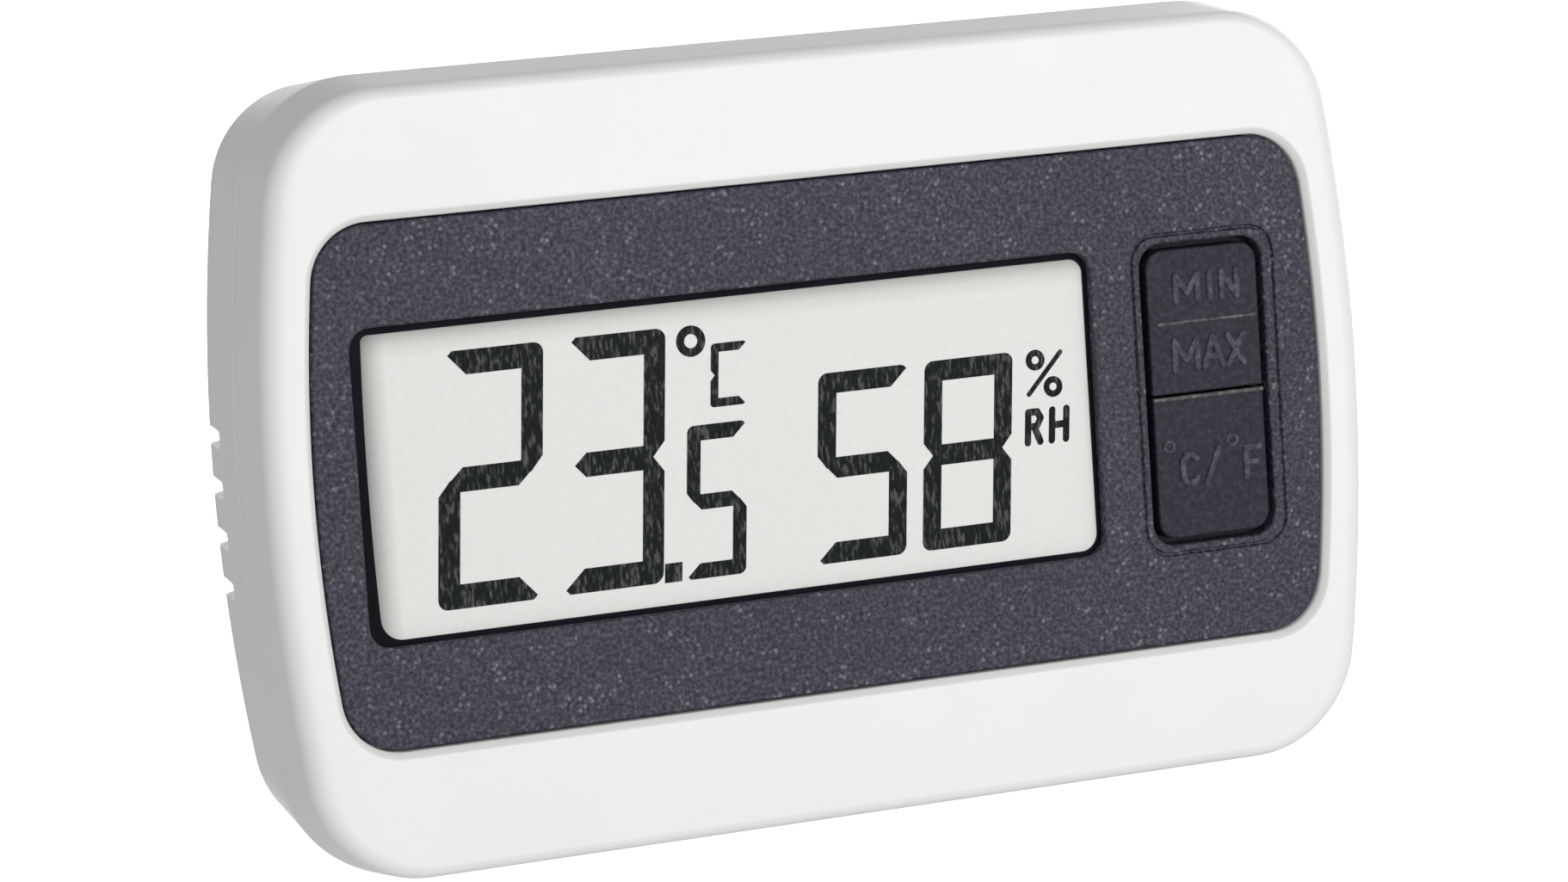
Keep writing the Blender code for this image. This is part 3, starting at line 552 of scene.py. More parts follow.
def plastic_finish(name, dark, light, roughness, grain, relief, blotch=4.0, specular=0.5):
    """Moulded plastic: slow colour variation, a fine grain in roughness and relief."""
    finish = Finish(name, roughness, specular=specular)
    finish.colour(finish.blend(finish.spread(finish.noise(blotch, 3.0), 0.0, 1.0), dark, light))
    fine = finish.noise(grain, 3.0)
    finish.rough(finish.spread(fine, roughness - 0.05, roughness + 0.05))
    finish.bump(fine, relief)
    return finish.material


def metal_finish(name, dark, light, roughness, grain, relief):
    """Plated metal with faint marks."""
    finish = Finish(name, roughness, 1.0)
    marks = finish.noise(grain, 4.0, (1.0, 1.0, 6.0))
    finish.colour(finish.blend(finish.spread(marks, 0.0, 1.0), dark, light))
    finish.rough(finish.spread(marks, roughness - 0.08, roughness + 0.1))
    finish.bump(marks, relief)
    return finish.material


def flecked_finish():
    """The face panel: dark violet-grey spark texture with pale flecks."""
    finish = Finish("face_plate_grey", 0.5, specular=0.25)
    mottle = finish.ramp(finish.noise(0.21, 2.5), (0.30, (0.016, 0.014, 0.026)),
                         (0.50, (0.044, 0.040, 0.061)), (0.70, (0.100, 0.092, 0.122)))
    slow = finish.ramp(finish.noise(9.0, 1.0), (0.3, (0.93, 0.93, 0.93)), (0.7, (1.07, 1.07, 1.06)))
    base = finish.blend(1.0, mottle, slow, "MULTIPLY")
    grains = finish.ramp(finish.flecks(0.40, 0.44), (0.20, (0.0, 0.0, 0.0)), (0.85, (0.17, 0.165, 0.172)))
    some = finish.ramp(finish.noise(1.1, 1.0), (0.44, (0.0, 0.0, 0.0)), (0.62, (1.0, 1.0, 1.0)))
    grains = finish.blend(1.0, grains, some, "MULTIPLY")
    finish.colour(finish.blend(1.0, base, grains, "ADD"))
    fine = finish.noise(0.22, 2.0)
    finish.rough(finish.spread(fine, 0.44, 0.62))
    return finish.bump(fine, 0.02, 0.6).material


def key_finish(name, dark, middle, pale):
    """Dark grey moulded plastic of the keys; the raised letters and ribs use it with paler colours, which
    are painted highlight of their lit edges.
    """
    finish = Finish(name, 0.5, specular=0.2)
    finish.colour(finish.ramp(finish.noise(0.30, 2.0), (0.30, dark), (0.50, middle), (0.72, pale)))
    fine = finish.noise(0.2, 2.0)
    finish.rough(finish.spread(fine, 0.42, 0.56))
    return finish.bump(fine, 0.012, 0.6).material


def ink_finish():
    """Lit display segments: near black, with upright paler streaks."""
    finish = Finish("segment_ink", 0.55, specular=0.12)
    streaks = finish.noise(0.15, 2.0, (1.0, 1.0, 3.6))
    finish.colour(finish.ramp(streaks, (0.38, (0.001, 0.003, 0.004)), (0.52, (0.009, 0.012, 0.013)),
                              (0.70, (0.098, 0.098, 0.093))))
    finish.rough(finish.spread(streaks, 0.45, 0.65))
    return finish.bump(streaks, 0.004).material


def film_finish():
    """The display's pale polarizer film, with the soft shade of the frame at its left and top edges."""
    finish = Finish("display_film", 0.42, specular=0.3)
    pale = finish.blend(finish.spread(finish.noise(0.25, 2.0), 0.0, 1.0), (0.800, 0.790, 0.776),
                        (0.828, 0.818, 0.804))
    left_edge = PANEL_CENTRE[0] + BORDER_OPENING[0] - BORDER_BULGE
    top_edge = PANEL_CENTRE[1] + BORDER_OPENING[3]
    left_shade = finish.ramp(finish.along("X", left_edge, left_edge + SHADE_LEFT),
                             (0.0, (0.34, 0.32, 0.33)), (0.6, (0.80, 0.79, 0.79)), (1.0, (1.0, 1.0, 1.0)))
    top_shade = finish.ramp(finish.along("Z", top_edge, top_edge - SHADE_TOP),
                            (0.0, (0.54, 0.52, 0.52)), (0.5, (0.87, 0.86, 0.86)), (1.0, (1.0, 1.0, 1.0)))
    shaded = finish.blend(1.0, pale, left_shade, "MULTIPLY")
    finish.colour(finish.blend(1.0, shaded, top_shade, "MULTIPLY"))
    fine = finish.noise(0.12, 2.0)
    finish.rough(finish.spread(fine, 0.38, 0.48))
    return finish.bump(fine, 0.003).material


def board_finish():
    """Green laminate with darker copper tracks under the mask."""
    finish = Finish("board_green", 0.35)
    tracks = finish.add("ShaderNodeTexBrick")
    mapping = finish.add("ShaderNodeMapping")
    mapping.inputs["Rotation"].default_value = (radians(90), 0.0, 0.0)
    mapping.inputs["Scale"].default_value = [400.0] * 3
    finish.link(finish.place, mapping.inputs["Vector"])
    finish.link(mapping.outputs["Vector"], tracks.inputs["Vector"])
    tracks.inputs["Scale"].default_value = 1.0
    tracks.inputs["Mortar Size"].default_value = 0.06
    tracks.inputs["Color1"].default_value = (0.012, 0.10, 0.035, 1.0)
    tracks.inputs["Color2"].default_value = (0.014, 0.115, 0.04, 1.0)
    tracks.inputs["Mortar"].default_value = (0.03, 0.19, 0.07, 1.0)
    finish.colour(tracks.outputs["Color"])
    fine = finish.noise(0.3, 3.0)
    finish.rough(finish.spread(fine, 0.3, 0.42))
    return finish.bump(tracks.outputs["Fac"], 0.02, 0.5).material


# ---- case

def make_front_housing(material):
    seam_y = SEAM_Y - SEAM_GAP / 2
    wall_back_y = FRONT_Y + FRONT_WALL
    ledge_y = PANEL_BACK_Y + PANEL_FIT
    straight = SEAM_Y - FRONT_Y - FRONT_ROUND
    ledge = outline(*LEDGE, 0.0, PANEL_CENTRE)
    rings = [at_depth(body_outline(inset, inset), seam_y - depth)
             for depth, inset in reversed(list(quarter_round(SEAM_EDGE)))]
    for depth, inset in quarter_round(FRONT_ROUND, ROUND_STEPS):
        inset_x = FRONT_DRAFT_X * straight + FRONT_ROUND_X * inset / FRONT_ROUND
        inset_z = FRONT_DRAFT_Z * straight + FRONT_ROUND_Z * inset / FRONT_ROUND
        rings.append(at_depth(body_outline(inset_x, inset_z), FRONT_Y + depth))
    rim = PANEL_FIT + RIM_WIDTH
    for grow, depth in ((rim, 0.0), (rim - 0.06, 0.015), (rim - 0.12, 0.06),
                        (PANEL_FIT + 0.05, RIM_DEPTH - 0.03), (PANEL_FIT, RIM_DEPTH + 0.06)):
        rings.append(at_depth(panel_outline(grow), FRONT_Y + depth))
    rings.append(at_depth(panel_outline(PANEL_FIT), ledge_y))
    rings.append(at_depth(ledge, ledge_y))
    rings.append(at_depth(ledge, wall_back_y))
    rings.append(at_depth(body_outline(WALL + 0.12, WALL + 0.12), wall_back_y))
    rings.append(at_depth(body_outline(WALL, WALL), seam_y))
    housing = piece("front_shell", loft(rings, joined=True), material)
    for corner in four_corners(*CASE_POSTS):
        join_on(housing, rod(corner, CASE_POST_RADIUS, wall_back_y - POST_ROOT, CASE_POST_END_Y))
        cut(housing, rod(corner, *CASE_PILOT))
    for corner in four_corners(*BOARD_POSTS):
        join_on(housing, rod(corner, BOARD_POST_RADIUS, wall_back_y - POST_ROOT, BOARD_POST_END_Y))
        cut(housing, rod(corner, *BOARD_PILOT))
    settle(housing, "case", ["front_housing"])


def make_rear_cover(material):
    seam_y = SEAM_Y + SEAM_GAP / 2
    straight = REAR_Y - REAR_ROUND - SEAM_Y
    inset_x = REAR_DRAFT_X * straight
    inset_z = REAR_DRAFT_Z * straight
    inner_y = REAR_Y - REAR_WALL
    rings = [at_depth(body_outline(WALL + inset_x + 0.4, WALL + inset_z + 0.4), inner_y),
             at_depth(body_outline(WALL, WALL), seam_y)]
    for depth, inset in reversed(list(quarter_round(SEAM_EDGE))):
        rings.append(at_depth(body_outline(inset, inset), seam_y + depth))
    for depth, inset in quarter_round(REAR_ROUND, ROUND_STEPS):
        rings.append(at_depth(body_outline(inset_x + inset, inset_z + inset), REAR_Y - depth))
    flat = REAR_ROUND + 0.08
    rings.append(at_depth(body_outline(inset_x + flat, inset_z + flat), REAR_Y))
    cover = piece("rear_shell", loft(rings), material)

    # inset and Y round the lip that enters the front housing
    lip = ((1.65, -3.6), (1.65, -2.3), (1.1, -2.0), (1.1, -1.0), (2.35, -1.0), (2.35, -3.6))
    join_on(cover, loft([at_depth(body_outline(inset, inset), y) for inset, y in lip], joined=True))
    corners = four_corners(*CASE_POSTS)
    join_on(cover, *[rod(corner, REAR_POST_RADIUS, -1.8, inner_y + 0.6) for corner in corners])
    join_on(cover, rod(CAP_CENTRE, BAY_WALL_RADIUS, -0.4, inner_y + 0.5, TURN_STEPS))
    recess_y = REAR_Y - LEG_RECESS_DEPTH
    recess = (LEG_LOW.x + 0.75, LEG_HIGH.x - 0.75, LEG_LOW.z - 1.8, LEG_HIGH.z + 0.25)
    join_on(cover, block(recess[0] - 1.55, recess[1] + 1.55, recess_y - 1.0, inner_y + 0.5,
                         recess[2] - 1.0, recess[3] + 0.9))
    for x in (-FOOT_X, FOOT_X):
        bounds = (x - FOOT_HALF_LENGTH, x + FOOT_HALF_LENGTH, SEAM_Y + 0.3, FOOT_REAR_Y)
        foot = rounded_rectangle(bounds, 0.8)
        join_on(cover, loft([[(px, py, z) for px, py in foot] for z in (0.0, FOOT_HEIGHT)]))

    cut(cover, rod(CAP_CENTRE, *CELL_HOLE, TURN_STEPS))
    cut(cover, rod(CAP_CENTRE, TAB_GROOVE_RADIUS, TAB_GROOVE_Y, inner_y, TURN_STEPS))
    cut(cover, rounded_mouth(BAY_MOUTH_RADIUS, inner_y - 0.3, REAR_Y, 0.25, CAP_CENTRE))
    for turn in (0.0, pi):
        notch = sector(CAP_CENTRE, *NOTCH, turn - CAP_TURN, NOTCH_HALF_ANGLE)
        cut(cover, prism(notch, inner_y - 0.3, REAR_Y + 1.0))
    cut(cover, rod(CAP_CENTRE, *CONTACT_HOLE, TURN_STEPS))

    def recess_ring(grow):
        return rounded_rectangle(recess, 0.8, grow)

    cut(cover, pocket(recess_ring, recess_y, REAR_Y, 0.25, 0.3))
    inner_x, outer_x = TRUNNION_HOLE_X
    for ends in ((-outer_x, -inner_x), (inner_x, outer_x)):
        hole = [(x, TRUNNION_HOLE_RADIUS) for x in ends]
        cut(cover, turned_along_x(hole, HINGE_Y, HINGE_Z))
    keyhole_z = HINGE_Z + KEYHOLE_RISE

    def hole_ring(grow):
        return circle((0.0, keyhole_z), KEYHOLE_RADIUS + grow, SMALL_TURN_STEPS)

    def slot_ring(grow):
        half, height = KEYHOLE_SLOT
        return rounded_rectangle((-half, half, keyhole_z, keyhole_z + height), half - 0.01, grow)

    cut(cover, pocket(slot_ring, inner_y - 1.0, REAR_Y, 0.2, 0.05))
    cut(cover, pocket(hole_ring, inner_y - 1.0, REAR_Y, 0.2, 0.05))
    for corner in corners:
        cut(cover, rod(corner, *SCREW_HOLE))
        cut(cover, rounded_mouth(HEAD_POCKET_RADIUS, HEAD_POCKET_Y, REAR_Y, 0.2, corner, SMALL_TURN_STEPS))
    for i in range(VENTS):
        z = PANEL_CENTRE[1] + VENT_TOP - i * VENT_PITCH
        slot = rounded_rectangle((*VENT_Y, z - VENT_HALF_WIDTH, z + VENT_HALF_WIDTH), 0.46)
        cut(cover, loft([[(x, y, pz) for y, pz in slot] for x in VENT_X]))
    settle(cover, "case", ["rear_cover"])


def make_face_panel(material):
    panel = piece("face_plate", domed(panel_outline, PANEL_BACK_Y, PANEL_Y, 0.14), material)
    left, right, bottom, top = GLASS_POCKET
    x, z = PANEL_CENTRE
    cut(panel, block(x + left, x + right, PANEL_Y + WINDOW_LIP, PANEL_BACK_Y + 1.0, z + bottom, z + top))

    def window_ring(grow):
        return rounded_rectangle(WINDOW, WINDOW_RADIUS, grow, PANEL_CENTRE)

    def key_ring(grow):
        return rounded_rectangle(KEY_OPENING, KEY_OPENING_RADIUS, grow, PANEL_CENTRE)

    def border_ring(grow):
        return rounded_rectangle(KEY_BORDER, KEY_BORDER_RADIUS, grow, PANEL_CENTRE)

    cut(panel, pocket(window_ring, PANEL_BACK_Y + 1.0, PANEL_Y, 0.12, 0.02))
    cut(panel, pocket(key_ring, PANEL_BACK_Y + 1.0, PANEL_Y, 0.14, 0.02))
    groove = [at_depth(border_ring(grow), PANEL_Y + depth)
              for grow, depth in ((0.15, -0.05), (0.04, 0.16), (-0.04, 0.16), (-0.15, -0.05))]
    cut(panel, loft(groove, joined=True))
    settle(panel, "case", ["face_panel"])


# ---- keys

def make_key(name, node, body, bounds, radii, material):
    """A key cap with its flange and stem."""

    def cap_ring(grow):
        return rounded_rectangle(bounds, radii, grow, PANEL_CENTRE)

    key = piece(name, domed(cap_ring, PANEL_Y + 1.3, PANEL_Y, 0.12), material)
    low, high = box(node)
    flange_y = PANEL_BACK_Y + 0.1
    join_on(key, block(low.x, high.x, flange_y, flange_y + 0.55, low.z, high.z))
    middle = (PANEL_CENTRE[0] + (bounds[0] + bounds[1]) / 2, PANEL_CENTRE[1] + (bounds[2] + bounds[3]) / 2)
    join_on(key, rod(middle, KEY_STEM_RADIUS, flange_y + 0.3, high.y))
    settle(key, body, [node])


def make_marks(name, body, marks, material):
    """Shapes raised from the face of a key, as one piece."""
    relief = piece(name, marks[0], material)
    join_on(relief, *marks[1:])
    settle(relief, body)


def rib(left, right, z, width, height, steps=6):
    """A low bead along X on the face of a key."""
    x, panel_z = PANEL_CENTRE
    rings = []
    for end in (x + left, x + right):
        ring = [(end, PANEL_Y + MARK_ROOT, panel_z + z - width / 2)]
        for i in range(steps + 1):
            angle = pi * i / steps
            ring.append((end, PANEL_Y - height * sin(angle), panel_z + z - width / 2 * cos(angle)))
        ring.append((end, PANEL_Y + MARK_ROOT, panel_z + z + width / 2))
        rings.append(ring)
    return loft(rings)


def bead(start, end, width=0.34, height=0.1):
    """A straight raised stroke with soft edges on the face of a key."""
    x, z = PANEL_CENTRE

    def bead_ring(grow):
        return stroke((x + start[0], z + start[1]), (x + end[0], z + end[1]), width + 2 * grow)

    return domed(bead_ring, PANEL_Y + MARK_ROOT, PANEL_Y - height, 0.07)


def raised(letter, left, right, bottom, top):
    """The strokes of one raised letter that fills the given box."""
    return [bead(start, end) for start, end in letter_strokes(letter, (left, right, bottom, top))]


def raised_ring(x, z, outer, inner):
    centre = (PANEL_CENTRE[0] + x, PANEL_CENTRE[1] + z)
    profile = [(outer, PANEL_Y + MARK_ROOT), (outer, PANEL_Y - 0.04), (outer - 0.05, PANEL_Y - 0.09),
               (inner + 0.05, PANEL_Y - 0.09), (inner, PANEL_Y - 0.04), (inner, PANEL_Y + MARK_ROOT)]
    return turned(profile, centre, SMALL_TURN_STEPS, joined=True)


def make_keys(material, letter_highlight_material, rib_highlight_material):
    left, right = KEY_OPENING[0] + KEY_GAP, KEY_OPENING[1] - KEY_GAP
    low, high = KEY_OPENING[2] + KEY_GAP, KEY_OPENING[3] - KEY_GAP
    half_gap = KEY_SPLIT_GAP / 2
    make_key("min_max_button", "min_max_key", "upper_key", (left, right, KEY_SPLIT_Z + half_gap, high),
             (KEY_CORNER, KEY_CORNER, KEY_SPLIT_CORNER, KEY_SPLIT_CORNER), material)
    make_key("unit_button", "unit_key", "lower_key", (left, right, low, KEY_SPLIT_Z - half_gap),
             (KEY_SPLIT_CORNER, KEY_SPLIT_CORNER, KEY_CORNER, KEY_CORNER), material)
    # The letters' paler grey is painted highlight: it stands in for the light their raised edges catch.
    upper_marks = raised("M", 19.35, 20.6, 4.75, 6.05) + raised("I", 21.3, 21.3, 4.75, 6.05)
    upper_marks += raised("N", 22.0, 22.85, 4.75, 6.05) + raised("M", 19.1, 20.4, 1.25, 2.75)
    upper_marks += raised("A", 20.75, 21.85, 1.25, 2.75) + raised("X", 22.15, 23.05, 1.25, 2.75)
    make_marks("min_max_letters", "upper_key", upper_marks, letter_highlight_material)
    lower_marks = [raised_ring(18.5, -2.65, 0.37, 0.17), raised_ring(22.1, -2.65, 0.37, 0.17)]
    lower_marks += raised("C", 19.2, 20.0, -4.65, -3.15) + raised("/", 20.55, 21.3, -4.75, -3.0)
    lower_marks += raised("F", 22.85, 23.65, -4.7, -3.15)
    make_marks("unit_letters", "lower_key", lower_marks, letter_highlight_material)
    # The ribs' pale grey is painted highlight: it stands in for light caught along the groove and where the
    # two keys meet.
    make_marks("min_max_rib", "upper_key", [rib(left + 0.45, right - 0.2, 3.65, 0.16, 0.06)], rib_highlight_material)
    make_marks("unit_rib", "lower_key",
               [rib(left + 0.02, right - 0.02, KEY_SPLIT_Z - half_gap - 0.06, 0.2, 0.07)], rib_highlight_material)


# ---- display

DIGIT_SLANT = 0.08
DIGIT_FRONT = 0.012           # how far the segments stand in front of the film
FILM_GAP = 0.002              # between the film and what is printed on it
SPARE = 0.1                   # how far cutters reach past what they cut


def slanted(points):
    """Lean upright display shapes and move them to the panel's centre."""
    x0, z0 = PANEL_CENTRE
    return [(x0 + x + DIGIT_SLANT * z, z0 + z) for x, z in points]


def segment_prism(points, spare=0.0):
    y = FILM_LOW.y
    return prism(slanted(points), y - DIGIT_FRONT - spare, y - FILM_GAP + spare)


def numeral(name, bounds, upright, bar, dark, material, tips=(0.43, 0.22), radius=0.55):
    """A seven-segment figure: a full figure eight, less a bite for each dark segment.

    dark names the unlit segments: a top, b and c right, d bottom, e and f left, g middle.
    """
    left, right, bottom, top = bounds
    middle = (top + bottom) / 2
    size = bar / 1.2
    digit = piece(name, segment_prism(rounded_rectangle(bounds, radius * size)), material)
    half = bar / 2
    for low, high in ((bottom + bar, middle - half), (middle + half, top - bar)):
        cut(digit, segment_prism([(left + upright, low), (right - upright, low),
                                  (right - upright, high), (left + upright, high)], SPARE))
    for side, way in ((left, 1), (right, -1)):
        notch = [(side + way * 0.6 * size, middle), (side - way * 0.4 * size, middle + 1.25 * size),
                 (side - way * 0.4 * size, middle - 1.25 * size)]
        cut(digit, segment_prism(notch, SPARE))
    nose = 0.22 * size
    sides = (("f", left, 1, top, 1, tips[0]), ("e", left, 1, bottom, -1, tips[1]),
             ("b", right, -1, top, 1, tips[0]), ("c", right, -1, bottom, -1, tips[1]))
    for segment, side, way, end, up, tip in sides:
        if segment not in dark:
            continue
        tip *= size
        clear = max(tip + bar - nose, upright + 0.1)
        bite = [(side - way, end + up * 0.4), (side + way * (tip + nose + 0.4), end + up * 0.4),
                (side + way * tip, end - up * nose), (side + way * (tip + bar - nose), end - up * bar),
                (side + way * clear, end - up * bar), (side + way * clear, middle + up * half),
                (side + way * (0.65 * size + half), middle + up * half),
                (side + way * 0.65 * size, middle), (side - way, middle)]
        cut(digit, segment_prism(bite, SPARE))
    if "g" in dark:
        half += 0.05
        bite = [(left + upright, middle - half), (right + 1.0, middle - half),
                (right + 1.0, middle + half), (left + upright, middle + half)]
        cut(digit, segment_prism(bite, SPARE))
    settle(digit, "case")


def mark(name, shapes, material):
    """A small display sign made of overlapping strokes and rings."""
    sign = piece(name, shapes[0], material)
    join_on(sign, *shapes[1:])
    settle(sign, "case")


def display_ring(x, z, outer, inner):
    front_y, back_y = FILM_LOW.y - DIGIT_FRONT, FILM_LOW.y - FILM_GAP
    profile = [(outer, front_y), (outer, back_y), (inner, back_y), (inner, front_y)]
    return turned(profile, slanted([(x, z)])[0], SMALL_TURN_STEPS, joined=True)


def make_display(film, ink, border_finish):
    def film_ring(grow):
        return rounded_rectangle((FILM_LOW.x, FILM_HIGH.x, FILM_LOW.z, FILM_HIGH.z), 0.4, grow)

    face = piece("display_face", domed(film_ring, FILM_HIGH.y, FILM_LOW.y, 0.04), film)
    settle(face, "case", ["front_polarizer"])
    # A near-black ring on the film inside the window, wider at its left and top.
    inside = bulged_left(rounded_rectangle(BORDER_OPENING, BORDER_RADII, 0.0, PANEL_CENTRE), BORDER_BULGE)
    outside = bulged_left(rounded_rectangle(WINDOW, WINDOW_RADIUS, 0.25, PANEL_CENTRE), 0.0)
    front_y = FILM_LOW.y - 0.08
    back_y = FILM_LOW.y - FILM_GAP
    rings = [at_depth(outside, front_y), at_depth(outside, back_y),
             at_depth(inside, back_y), at_depth(inside, front_y)]
    border = piece("display_border", loft(rings, joined=True), border_finish)
    settle(border, "case")

    numeral("digit_tens", (-20.86, -15.44, -6.4, 6.2), 1.13, 1.2, "fc", ink)
    numeral("digit_units", (-14.39, -8.99, -6.4, 6.2), 1.13, 1.2, "fe", ink)
    numeral("digit_tenths", (-7.79, -4.56, -6.43, 1.2), 0.73, 0.77, "be", ink, (0.2, 0.2))
    numeral("degree_letter", (-6.55, -4.65, 2.0, 5.15), 0.42, 0.43, "bcg", ink, (0.1, 0.1))
    numeral("humidity_tens", (-0.72, 4.21, -6.5, 3.05), 1.0, 1.04, "be", ink, (0.12, 0.22))
    numeral("humidity_units", (5.12, 10.02, -6.5, 3.05), 1.0, 1.04, "", ink)
    mark("degree_ring", [display_ring(-7.63, 5.4, 0.78, 0.35)], ink)
    point = [(-8.93, -6.43), (-8.0, -6.43), (-8.0, -5.47), (-8.93, -5.47)]
    mark("decimal_point", [segment_prism(point)], ink)
    mark("percent_sign", [display_ring(11.3, 2.5, 0.53, 0.2), display_ring(12.33, 1.06, 0.53, 0.2),
                          segment_prism(stroke((10.98, 0.8), (12.7, 2.78), 0.26))], ink)
    for name, letter, left, right in (("relative_letter", "R", 10.95, 11.65),
                                      ("humidity_letter", "H", 12.3, 13.1)):
        strokes = letter_strokes(letter, (left, right, -1.66, -0.12))
        mark(name, [segment_prism(stroke(start, end, 0.36)) for start, end in strokes], ink)


# ---- back of the case

def make_battery_cap(material):
    outer_y = CAP_HIGH.y
    disc = [(CAP_RADIUS, outer_y - 1.15)]
    disc += [(CAP_RADIUS - inset, outer_y - depth) for depth, inset in quarter_round(0.3)]
    disc += [(6.1, outer_y), (6.0, outer_y - 0.03), (5.9, outer_y - 0.12), (5.8, outer_y - 0.15)]
    cap = piece("cap", turned(disc, CAP_CENTRE), material)
    skirt = [(7.6, CAP_LOW.y), (7.6, outer_y - 0.85), (6.9, outer_y - 0.85), (6.9, CAP_LOW.y)]
    join_on(cap, turned(skirt, CAP_CENTRE, joined=True))
    for turn in (0.0, pi):
        join_on(cap, prism(sector(CAP_CENTRE, *TAB, turn, TAB_HALF_ANGLE), CAP_LOW.y, CAP_LOW.y + 0.7))

    def coin_ring(grow):
        return rounded_rectangle(COIN_SLOT, 0.64, grow, CAP_CENTRE)

    cut(cap, pocket(coin_ring, outer_y - 0.75, outer_y - 0.15, 0.12, 0.12))
    x, z = CAP_CENTRE
    pointer = [(x - 0.55, z + 6.35), (x + 0.55, z + 6.35), (x, z + 7.15)]
    join_on(cap, prism(pointer, outer_y - 0.1, outer_y + 0.1))
    settle(cap, "cap", ["battery_cap"])


def make_stand_leg(material):
    left, right = LEG_LOW.x + 1.0, LEG_HIGH.x - 1.0

    def leg_ring(grow):
        return rounded_rectangle((left, right, LEG_LOW.z, HINGE_Z), (0.05, 0.05, 1.2, 1.2), grow)

    edge = list(quarter_round(0.25))
    rings = [at_depth(leg_ring(-inset), HINGE_Y - LEG_HALF + depth) for depth, inset in reversed(edge)]
    rings += [at_depth(leg_ring(-inset), HINGE_Y + LEG_HALF - depth) for depth, inset in edge]
    leg = piece("leg", loft(rings), material)
    for start, end, radius in ((left, right, LEG_HALF), (LEG_LOW.x, LEG_HIGH.x, TRUNNION_RADIUS)):
        barrel = ((start, radius - 0.15), (start + 0.15, radius), (end - 0.15, radius), (end, radius - 0.15))
        join_on(leg, turned_along_x(barrel, HINGE_Y, HINGE_Z))

    def window_ring(grow):
        return rounded_rectangle(LEG_WINDOW, 1.2, grow)

    cut(leg, pocket(window_ring, HINGE_Y + LEG_HALF - 0.6, HINGE_Y + LEG_HALF, 0.2, 0.2))
    for i in range(3):
        def grip_ring(grow, z=GRIP_FOOT_Z + i * GRIP_PITCH):
            return rounded_rectangle((-2.6, 2.6, z - 0.25, z + 0.25), 0.24, grow)

        join_on(leg, domed(grip_ring, HINGE_Y, HINGE_Y + LEG_HALF + 0.18, 0.15))
    settle(leg, "leg", ["stand_leg"])


# Radius and rise from the head's seat
SCREW_HEAD = ((1.0, 0.0), (1.8, 0.0), (1.85, 0.06), (1.85, 0.5), (1.82, 0.62), (1.7, 0.78), (1.5, 0.93),
              (1.25, 1.07), (0.95, 1.17), (0.6, 1.23), (0.3, 1.25))


def make_screws(material):
    for i in range(1, 5):
        low, high = box(f"case_screw_{i}")
        centre = middle_of(low, high)
        profile = [(0.3, low.y), (1.0, low.y + 1.1)]
        profile += [(radius, HEAD_Y + rise) for radius, rise in SCREW_HEAD]
        screw = piece(f"cross_screw_{i}", turned(profile, centre, SMALL_TURN_STEPS), material)
        for wide, tall in ((1.0, 0.19), (0.19, 1.0)):
            cross = []
            for size, rise in ((0.55, 0.45), (1.0, 1.0), (1.15, 2.0)):
                x, z = wide * size, tall * size
                corners = [(centre[0] + sx * x, centre[1] + sz * z)
                           for sx, sz in ((-1, -1), (1, -1), (1, 1), (-1, 1))]
                cross.append(at_depth(corners, HEAD_Y + rise))
            cut(screw, loft(cross))
        settle(screw, "case", [f"case_screw_{i}"])


# ---- inner pieces, stage, light, camera

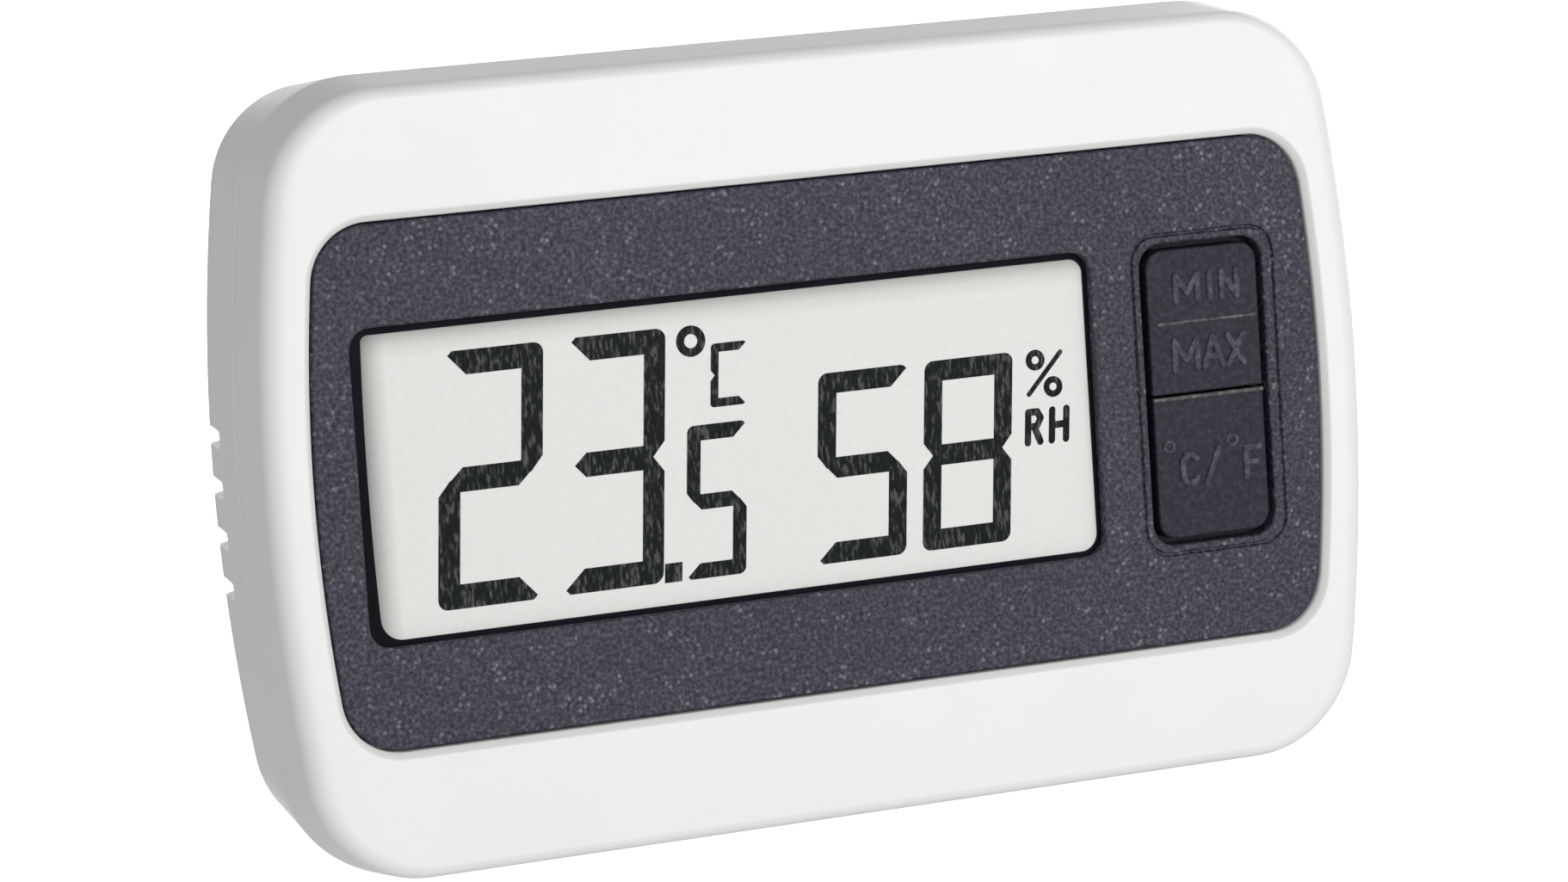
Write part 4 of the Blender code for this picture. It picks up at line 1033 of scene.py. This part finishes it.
def dress_inner_pieces():
    """Give every CAD node that stays its own finish and softly broken edges."""
    glass = plastic_finish("clear_glass", (0.72, 0.76, 0.74), (0.80, 0.84, 0.82), 0.08, 1.5, 0.001)
    reflector = metal_finish("silver_film", (0.62, 0.62, 0.60), (0.80, 0.80, 0.78), 0.3, 0.8, 0.002)
    rubber = plastic_finish("connector_rubber", (0.55, 0.30, 0.32), (0.66, 0.38, 0.40), 0.75, 0.2, 0.01)
    resin = plastic_finish("black_resin", (0.010, 0.010, 0.012), (0.022, 0.022, 0.024), 0.3, 0.4, 0.01)
    steel = metal_finish("nickel_steel", (0.56, 0.55, 0.52), (0.72, 0.71, 0.68), 0.28, 0.5, 0.004)
    finishes = {
        "front_glass": glass, "rear_glass": glass, "rear_reflector": reflector,
        "lcd_holder": plastic_finish("holder_white", (0.74, 0.74, 0.71), (0.84, 0.84, 0.81), 0.5, 0.3, 0.01),
        "elastomer_connector": rubber, "circuit_board": board_finish(),
        "chip_blob": resin, "temperature_sensor": resin,
        "upper_switch_base": resin, "lower_switch_base": resin,
    }
    finishes["humidity_sensor"] = plastic_finish("sensor_white", (0.76, 0.76, 0.72), (0.86, 0.86, 0.82),
                                                 0.5, 0.3, 0.008)
    finishes["quartz_crystal"] = metal_finish("crystal_can", (0.58, 0.58, 0.56), (0.76, 0.76, 0.74),
                                              0.25, 0.6, 0.003)
    grey = plastic_finish("plunger_grey", (0.50, 0.50, 0.48), (0.60, 0.60, 0.58), 0.45, 0.3, 0.006)
    tan = plastic_finish("capacitor_tan", (0.38, 0.27, 0.17), (0.50, 0.37, 0.25), 0.5, 0.2, 0.006)
    black = plastic_finish("resistor_black", (0.018, 0.018, 0.020), (0.035, 0.035, 0.038), 0.4, 0.2, 0.006)
    for place in ("upper", "lower"):
        finishes[f"{place}_switch_plunger"] = grey
    for i in (1, 2, 3):
        finishes[f"capacitor_{i}"] = tan
        finishes[f"resistor_{i}"] = black
    board_screws = [f"board_screw_{i}" for i in (1, 2, 3, 4)]
    for name in ("button_cell", "positive_contact", "negative_contact", *board_screws):
        finishes[name] = steel
    for name, finish in finishes.items():
        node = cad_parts[name]
        node.data.materials.clear()
        node.data.materials.append(finish)
        edges = node.modifiers.new("soft_edges", "BEVEL")
        edges.width = 0.05 * MM
        edges.segments = 2
        edges.limit_method = "ANGLE"
        edges.angle_limit = radians(50)


def make_floor():
    finish = Finish("pale_floor", 0.7, specular=0.2)
    shade = finish.blend(finish.spread(finish.noise(60.0, 2.0), 0.0, 1.0), (0.86, 0.86, 0.86),
                         (0.88, 0.88, 0.88))
    finish.colour(shade)
    finish.link(shade, finish.shader.inputs["Emission Color"])
    finish.shader.inputs["Emission Strength"].default_value = 1.25
    half = 60000.0
    corners = [(x, y, -0.01) for x, y in ((-half, -half), (half, -half), (half, half), (-half, half))]
    floor = piece("floor", (corners, [(0, 1, 2, 3)]), finish.material)
    floor.visible_diffuse = False
    floor.visible_glossy = False


def area_light(name, place, aim, side, power):
    data = bpy.data.lights.new(name, "AREA")
    data.size = side
    data.energy = power
    lamp = bpy.data.objects.new(name, data)
    lamp.location = place
    lamp.rotation_euler = (Vector(aim) - Vector(place)).to_track_quat("-Z", "Y").to_euler()
    bpy.context.scene.collection.objects.link(lamp)


def make_light():
    centre = (0.0, 0.0, 0.02)
    area_light("front_softbox", (0.0, -0.35, 0.02), centre, 0.3, 0.24)
    area_light("upper_front_softbox", (-0.02, -0.33, 0.10), centre, 0.3, 0.19)
    area_light("front_right_softbox", (0.16, -0.28, 0.05), centre, 0.2, 0.30)
    area_light("rear_right_softbox", (0.15, 0.10, 0.07), centre, 0.12, 0.113)
    area_light("back_softbox", (0.25, 0.55, 0.0), centre, 0.4, 0.5)
    world = bpy.data.worlds.new("soft_room")
    world.use_nodes = True
    tree = world.node_tree
    place = tree.nodes.new("ShaderNodeTexCoord")
    split = tree.nodes.new("ShaderNodeSeparateXYZ")
    ramp = tree.nodes.new("ShaderNodeValToRGB")
    stretch = tree.nodes.new("ShaderNodeMapRange")
    stretch.inputs["From Min"].default_value = -1.0
    tree.links.new(place.outputs["Generated"], split.inputs["Vector"])
    tree.links.new(split.outputs["Z"], stretch.inputs["Value"])
    tree.links.new(stretch.outputs["Result"], ramp.inputs["Fac"])
    ramp.color_ramp.elements[0].color = (0.605, 0.618, 0.605, 1.0)
    ramp.color_ramp.elements[1].color = (0.318, 0.334, 0.324, 1.0)
    tree.links.new(ramp.outputs["Color"], tree.nodes["Background"].inputs["Color"])
    bpy.context.scene.world = world


def make_camera():
    """The view: a long lens left of the object and a little above it, rolled slightly."""
    target = Vector((PANEL_CENTRE[0], PANEL_Y, PANEL_CENTRE[1]))
    heading, dip, roll = radians(22.934), radians(7.138), radians(3.786)
    forward = Vector((sin(heading) * cos(dip), cos(heading) * cos(dip), -sin(dip)))
    level = forward.cross(Vector((0.0, 0.0, 1.0))).normalized()
    down = forward.cross(level)
    right = cos(roll) * level + sin(roll) * down
    below = cos(roll) * down - sin(roll) * level
    data = bpy.data.cameras.new("camera")
    data.lens = 132.26
    data.sensor_width = 36.0
    data.clip_start = 0.01
    data.clip_end = 100.0
    camera = bpy.data.objects.new("camera", data)
    offset = Vector((-113.35, -261.23, 35.52))
    place = (target + offset) * MM
    turn = Matrix((right, -below, -forward)).transposed().to_4x4()
    camera.matrix_world = Matrix.Translation(place) @ turn
    bpy.context.scene.collection.objects.link(camera)
    bpy.context.scene.camera = camera


make_camera()
white = plastic_finish("white_plastic", (0.868, 0.872, 0.858), (0.888, 0.891, 0.880), 0.33, 0.35, 0.004, 6.0)
make_front_housing(white)
make_rear_cover(white)
make_face_panel(flecked_finish())
# The paler greys given to the letters and ribs are painted highlight of their raised edges.
make_keys(key_finish("key_grey", (0.013, 0.013, 0.021), (0.020, 0.020, 0.031), (0.036, 0.036, 0.052)),
          key_finish("key_letter_painted_highlight", (0.029, 0.029, 0.041), (0.052, 0.051, 0.068), (0.108, 0.105, 0.132)),
          key_finish("key_rib_painted_highlight", (0.060, 0.058, 0.064), (0.105, 0.100, 0.102), (0.190, 0.180, 0.175)))
border_black = plastic_finish("border_black", (0.003, 0.004, 0.007), (0.007, 0.008, 0.013), 0.55, 0.15,
                              0.003, 2.0, 0.06)
make_display(film_finish(), ink_finish(), border_black)
make_battery_cap(white)
make_stand_leg(white)
make_screws(metal_finish("screw_nickel", (0.50, 0.49, 0.46), (0.70, 0.69, 0.66), 0.3, 0.4, 0.004))
dress_inner_pieces()
make_floor()
make_light()
bpy.context.scene.view_settings.view_transform = "Standard"
